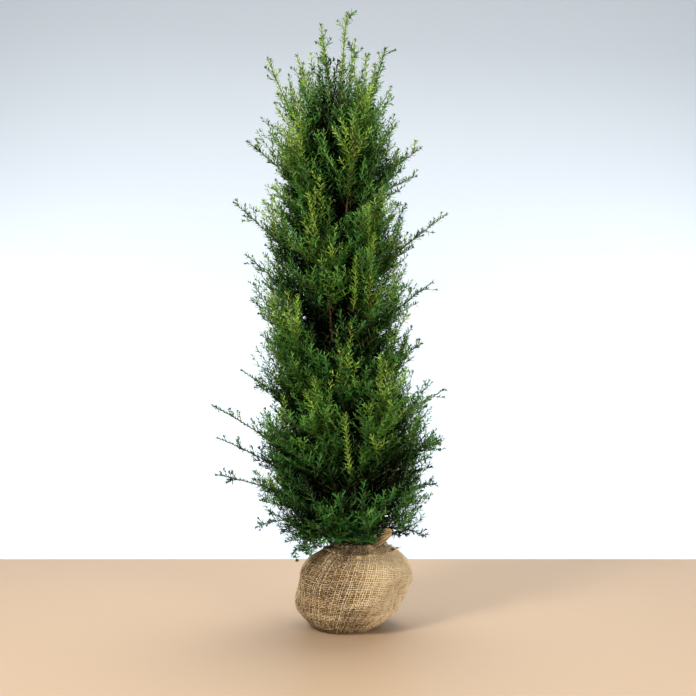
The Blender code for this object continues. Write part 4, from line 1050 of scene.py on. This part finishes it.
# Yarns as flattened tubes: a ring of four corners round each point, wide along the cloth and thin across it.
def yarnTubes(centres, normals, width, height):
    count, steps = centres.shape[:2]
    forward = unit(np.gradient(centres, axis=1))
    side = unit(np.cross(forward, normals))
    turn = (np.arange(4) * math.pi / 2)[:, None]
    ring = np.cos(turn) * side[:, :, None] * width[:, :, None, None]
    ring = ring + np.sin(turn) * np.cross(side, forward)[:, :, None] * height
    points = centres[:, :, None] + ring
    points[..., 2] = np.maximum(points[..., 2], 0.0)
    last = 4 * (steps - 1)
    caps = np.array(((0, 1, 2), (0, 2, 3), (last, last + 2, last + 1), (last, last + 3, last + 2)))
    faces = np.concatenate([wallFaces(steps, 4)[:, (0, 2, 1)], caps])
    return points.reshape(-1, 3), copiesOf(faces, count, 4 * steps)


# Crossings of the weave: warps start evenly round the base and lean to the knot as they climb, and both kinds
# of yarn wander by a slow sine and by chance.
def weave():
    warp = np.arange(sacking["warps"])[:, None]
    weft = np.arange(sacking["wefts"])[None]
    foot = warp * 2 * math.pi / sacking["warps"]
    share = weft / (sacking["wefts"] - 1)
    azimuth = foot - sacking["twist"] * np.sin(foot) * (1 + np.cos(foot)) / 2 * share
    polar = sacking["lowest"] + (sacking["highest"] - sacking["lowest"]) * share
    polar = polar + 0.05 * np.sin(azimuth + 0.6) * np.sin(math.pi * share)
    azimuth = azimuth + sacking["wave"] * np.sin(0.9 * warp + 0.35 * weft)
    azimuth = azimuth + rng.normal(0, sacking["wander"], azimuth.shape)
    polar = polar + sacking["wave"] * np.sin(0.31 * warp - 0.8 * weft)
    polar = polar + rng.normal(0, sacking["wander"], azimuth.shape)
    over = np.where((warp + weft) % 2, 1.0, -1.0)
    return ballSkin(azimuth, polar, sacking["proud"]), ballNormal(azimuth, polar), over


# Yarns of one direction, over and under the others in turn. A closed one runs right round the ball. A yarn is
# no wider than a share of the way to the next one. uneven is how far yarns differ in how soiled they are.
def layYarns(name, centres, normals, over, uneven, closed):
    if closed:
        centres, normals, over = (np.concatenate([v, v[:, :1]], axis=1) for v in (centres, normals, over))
        pitch = np.linalg.norm(np.gradient(centres, axis=0), axis=2)
    else:
        pitch = np.linalg.norm(np.roll(centres, -1, axis=0) - centres, axis=2)
    width = np.minimum(sacking["yarnWidth"] / 2, sacking["gapShare"] * pitch)
    width = width * rng.uniform(*sacking["yarnLuck"], (len(centres), 1))
    width = width * rng.uniform(*sacking["widthLuck"], width.shape)
    centres = centres + normals * (over * sacking["over"])[..., None]
    points, faces = yarnTubes(centres, normals, width, sacking["yarnHeight"])
    yarnLuck = rng.uniform(*soil["yarnLuck"], len(centres)) * uneven
    yarnLuck = np.repeat(yarnLuck, len(faces) // len(centres))
    score = soil["yarnBase"] + yarnLuck + soil["yarnSoil"] * soilOn(points[faces[:, 0]])
    score = score + rng.normal(0, soil["faceLuck"], len(faces))
    jutePiece(name, points, faces, np.minimum(score, soil["yarnMost"]), "root_ball")
    print(name, len(faces), "triangles")


# The backing under the yarns, which also forms the gathered collar, is dark: soil, with painted shade in the
# holes of the weave.
points, faces = gridTube(clothGrid(sacking["backing"]))
score = soil["backingSoilAndShade"] + soil["clothSoil"] * soilOn(points[faces[:, 0]])
jutePiece("sacking_backing_soil_and_shade", points, faces, score, "root_ball")
crossings, normals, over = weave()
layYarns("sacking_warps", crossings, normals, over, sacking["warpUneven"], False)
crossings, normals = (v.transpose(1, 0, 2) for v in (crossings, normals))
layYarns("sacking_wefts", crossings, normals, -over.T, sacking["weftUneven"], True)

# Loose fibres, drawn thicker than real ones so that they show. Some stand higher, round the rim.
fibre = dict(count=1500, length=(0.012, 0.040), radius=0.00055, thickness=(0.6, 1.6), hop=(0.05, 0.30),
             rimShare=0.30, rimHop=0.55, rimBelow=(0.02, 0.36), curl=0.35, points=7)


# Fibres that stand off the cloth in low arcs: out along it, up and back as a parabola, curled to one side.
def looseFibres():
    count = fibre["count"]
    azimuth = rng.uniform(0, 2 * math.pi, count)
    lowest, highest = math.cos(sacking["lowest"] - 0.1), math.cos(sacking["highest"] + 0.05)
    polar = np.arccos(rng.uniform(lowest, highest, count))
    rim = rng.random(count) < fibre["rimShare"]
    polar = np.where(rim, sacking["highest"] + rng.uniform(*fibre["rimBelow"], count), polar)
    foot = ballSkin(azimuth, polar, 0.001)
    normal = ballNormal(azimuth, polar)
    across = unit(np.cross(normal, upward))
    way = roundAxis(rng.uniform(0, 2 * math.pi, count)[:, None], across, np.cross(normal, across))
    length = rng.uniform(*fibre["length"], count)[:, None, None]
    t = np.linspace(0, 1, fibre["points"])[None, :, None]
    hop = rng.uniform(*fibre["hop"], (count, 1, 1))
    hop = hop + fibre["rimHop"] * rim[:, None, None] * rng.random((count, 1, 1))
    curl = rng.normal(0, fibre["curl"], (count, 1, 1))
    paths = foot[:, None] + way[:, None] * length * t + normal[:, None] * length * (hop * t * (1.35 - t))
    paths = paths + np.cross(normal, way)[:, None] * (curl * length * t * t)
    sag = length**2 * t**2 / (2 * ball["radius"])  # keeps to the ball as it curves away
    paths = paths - normal[:, None] * sag
    paths[..., 2] = np.maximum(paths[..., 2], 0.001)
    radii = fibre["radius"] * (1 - 0.5 * t[..., 0]) * rng.uniform(*fibre["thickness"], (count, 1))
    return tubes(paths, radii, 3)


points, faces = looseFibres()
score = soil["fibreMost"] * rng.random(fibre["count"]) ** soil["fibreClean"]
score = np.repeat(score, len(faces) // fibre["count"])
jutePiece("sacking_loose_fibres", points, faces, score, "root_ball")

# Torn hems, one at each polar angle. Rows are shares of the height, up the outer side and down the inner one.
hem = dict(polars=(0.44, 0.70), columns=300, height=0.017, least=0.15, torn=0.22, wave=0.006, fold=0.45,
           halfThick=0.0007, rows=(0.0, 0.35, 0.7, 1.0, 0.7, 0.35, 0.0), sides=(1, 1, 1, 0, -1, -1, -1))


# Torn hems of the cloth stand round the gathers: thin double walls that wave in and out and fold outwards as
# the square of the way up, with an uneven top edge.
def tornHem(polar):
    azimuth = np.arange(hem["columns"]) * 2 * math.pi / hem["columns"]
    across = polar + 0.05 * np.sin(3 * azimuth + 9 * polar) + 0.02 * np.sin(11 * azimuth)
    foot = ballSkin(azimuth, across, -0.001)
    away = unit((foot - foot.mean(axis=0)) * sideways)
    tall = 0.55 + 0.30 * np.sin(5 * azimuth + 4 * polar) + 0.22 * np.sin(14 * azimuth)
    tall = tall + rng.uniform(-hem["torn"], hem["torn"], hem["columns"])
    tall = hem["height"] * np.maximum(tall, hem["least"])
    waves = hem["wave"] * np.sin(19 * azimuth + 2 * np.sin(3 * azimuth))
    t = np.array(hem["rows"])[:, None, None]
    thick = np.array(hem["sides"])[:, None, None] * hem["halfThick"]
    out = hem["fold"] * tall[:, None] * t**2 + waves[:, None] * t + thick
    points = foot + ballNormal(azimuth, across) * tall[:, None] * t + away * out
    return points.reshape(-1, 3), wallFaces(len(hem["rows"]), hem["columns"])


for number, polar in enumerate(hem["polars"]):
    points, faces = tornHem(polar)
    column = faces.min(axis=1) % hem["columns"]
    score = rng.uniform(0.0, soil["hemLuck"], hem["columns"])[column]
    score = score + soil["hemFaceLuck"] * rng.random(len(faces))
    jutePiece(f"sacking_hem_{number + 1}", points, faces, score, "root_ball")


# Radius of the knot's twisted ear: wide where it leaves the ball, tied in, then a head of crumpled, fluted
# cloth that closes at the tip.
def knotRadius(angle, t):
    head = np.sin(math.pi * np.clip((t - knot["spreadShare"]) / knot["headShare"], 0, 1))
    swell = knot["waist"] + (knot["head"] - knot["waist"]) * head
    swell = swell + knot["spread"] * np.clip(1 - t / knot["spreadShare"], 0, 1)
    close = np.sqrt(np.clip((1.0 - t) / knot["closeShare"], 0.0, 1.0))
    flutes = 0.13 * np.cos(7 * angle - knot["turns"] * 2.2 * t) + 0.06 * np.cos(15 * angle + 9 * t)
    uneven = 0.90 + 0.14 * np.cos(2 * angle) + flutes * smooth((t - 0.05) / 0.3)
    return swell * uneven * np.maximum(close, 0.04)


# Points of the ear at an angle and a share of its length: rings round a bent line that turn as they go up.
def knotPoints(angle, t):
    count = knot["linePoints"]
    path = bend(np.array(knot["foot"]), np.array(knot["tip"]), knot["arch"], count)
    _, side, upper = framesOf(path[None])
    at = np.linspace(0, 1, count)
    centre, side, upper = (np.stack([np.interp(t, at, v[:, k]) for k in range(3)], axis=-1)
                           for v in (path, side[0], upper[0]))
    turned = (angle + knot["turns"] * t)[..., None]
    return centre + knotRadius(angle, t)[..., None] * roundAxis(turned, side, upper)


angle = np.arange(knot["columns"])[None] * 2 * math.pi / knot["columns"]
t = np.linspace(0, 1, knot["rows"])[:, None]
points, faces = gridTube(knotPoints(angle, t))
score = soil["knotBase"] + soil["knotLuck"] * rng.random(len(faces))
jutePiece("sacking_knot_cloth", points, faces, score, "sacking_knot")
angle = np.arange(knot["yarns"])[:, None] * 2 * math.pi / knot["yarns"]
along = np.broadcast_to(t.T, (knot["yarns"], knot["rows"]))
first, last = knot["yarnEnds"]
paths = knotPoints(angle + 0.0 * along, along)[:, first:last:2]
thickness = rng.uniform(*knot["yarnThickness"], (knot["yarns"], 1))
radii = np.full(paths.shape[:2], knot["yarnRadius"]) * thickness
points, faces = tubes(paths, radii, 4)
score = np.repeat(rng.uniform(*soil["knotYarns"], knot["yarns"]), len(faces) // knot["yarns"])
jutePiece("sacking_knot_yarns", points, faces, score, "sacking_knot")
print("sacking: cloth, yarns, fibres, hems and the knot")

# A pale floor that ends behind the plant, a pale wall far behind it, and a soft even sky.
studio = dict(floorHalf=9.0, floorEnd=1.27, wallHalf=12.0, wallPlace=6.0, wallFoot=-4.0, wallTop=8.0,
              sky="#eef2f6", skyStrength=0.36)


# A flat part of the studio, from its corners.
def stagePlane(name, corners, finish):
    mesh = bpy.data.meshes.new(name)
    mesh.from_pydata(corners, [], [(0, 1, 2, 3)])
    mesh.materials.append(finish)
    plane = bpy.data.objects.new(name, mesh)
    scene.collection.objects.link(plane)


# Matt emulsion and satin floor paint, rolled on: even and pale, so that only the shadow shows on them.
floorPaint = newFinish("paleFloorPaint", {"Base Color": linear("#bea58a"), "Roughness": 0.55})[0]
wallPaint = newFinish("paleWallPaint", {"Base Color": linear("#dbe3ea"), "Roughness": 0.9})[0]
half, end = studio["floorHalf"], studio["floorEnd"]
stagePlane("studio_floor", [(-half, -half, 0), (half, -half, 0), (half, end, 0), (-half, end, 0)], floorPaint)
half, y, foot, top = (studio[key] for key in ("wallHalf", "wallPlace", "wallFoot", "wallTop"))
stagePlane("studio_wall", [(-half, y, foot), (half, y, foot), (half, y, top), (-half, y, top)], wallPaint)


# A round soft light at a place, turned so that it faces its target.
def areaLight(name, place, target, size, power, colour):
    data = bpy.data.lights.new(name, "AREA")
    data.shape = "DISK"
    data.size = size
    data.energy = power
    data.color = linear(colour)[:3]
    lamp = bpy.data.objects.new(name, data)
    lamp.location = place
    way = np.array(target) - np.array(place)
    yaw = math.atan2(way[0], -way[1])
    pitch = math.atan2(-way[2], math.hypot(way[0], way[1]))
    lamp.rotation_euler = (math.pi / 2 - pitch, 0.0, yaw + math.pi)
    scene.collection.objects.link(lamp)


areaLight("keySoftbox", (-2.4, -3.0, 3.4), (0, 0, 1.1), 1.3, 150.0, "#fffaf4")
areaLight("ceilingSoftbox", (0.3, 1.2, 4.6), (0.1, 0.4, 0.0), 3.4, 150.0, "#fdfcfa")
areaLight("fillSoftbox", (2.6, -3.4, 1.0), (0, 0, 0.5), 2.0, 92.0, "#fbf8f4")
areaLight("wallWashLeft", (-4.2, 3.2, -0.6), (-0.6, studio["wallPlace"], 0.2), 2.0, 145.0, "#f8faff")
areaLight("wallWashRight", (4.2, 3.2, -0.6), (0.6, studio["wallPlace"], 0.2), 2.0, 145.0, "#f8faff")
world = bpy.data.worlds.new("softRoom")
world.use_nodes = True
sky = world.node_tree.nodes["Background"]
sky.inputs["Color"].default_value = linear(studio["sky"])
sky.inputs["Strength"].default_value = studio["skyStrength"]
scene.world = world
scene.view_settings.view_transform = "Standard"
scene.view_settings.look = "Medium High Contrast"

view = dict(place=(0.0144, -4.0, 1.0), lens=57.5, sensor=36.0)
cameraData = bpy.data.cameras.new("camera")
cameraData.lens = view["lens"]
cameraData.sensor_width = view["sensor"]
camera = bpy.data.objects.new("camera", cameraData)
camera.location = view["place"]
camera.rotation_euler = (math.pi / 2, 0.0, 0.0)
scene.collection.objects.link(camera)
scene.camera = camera

print("studio ready")
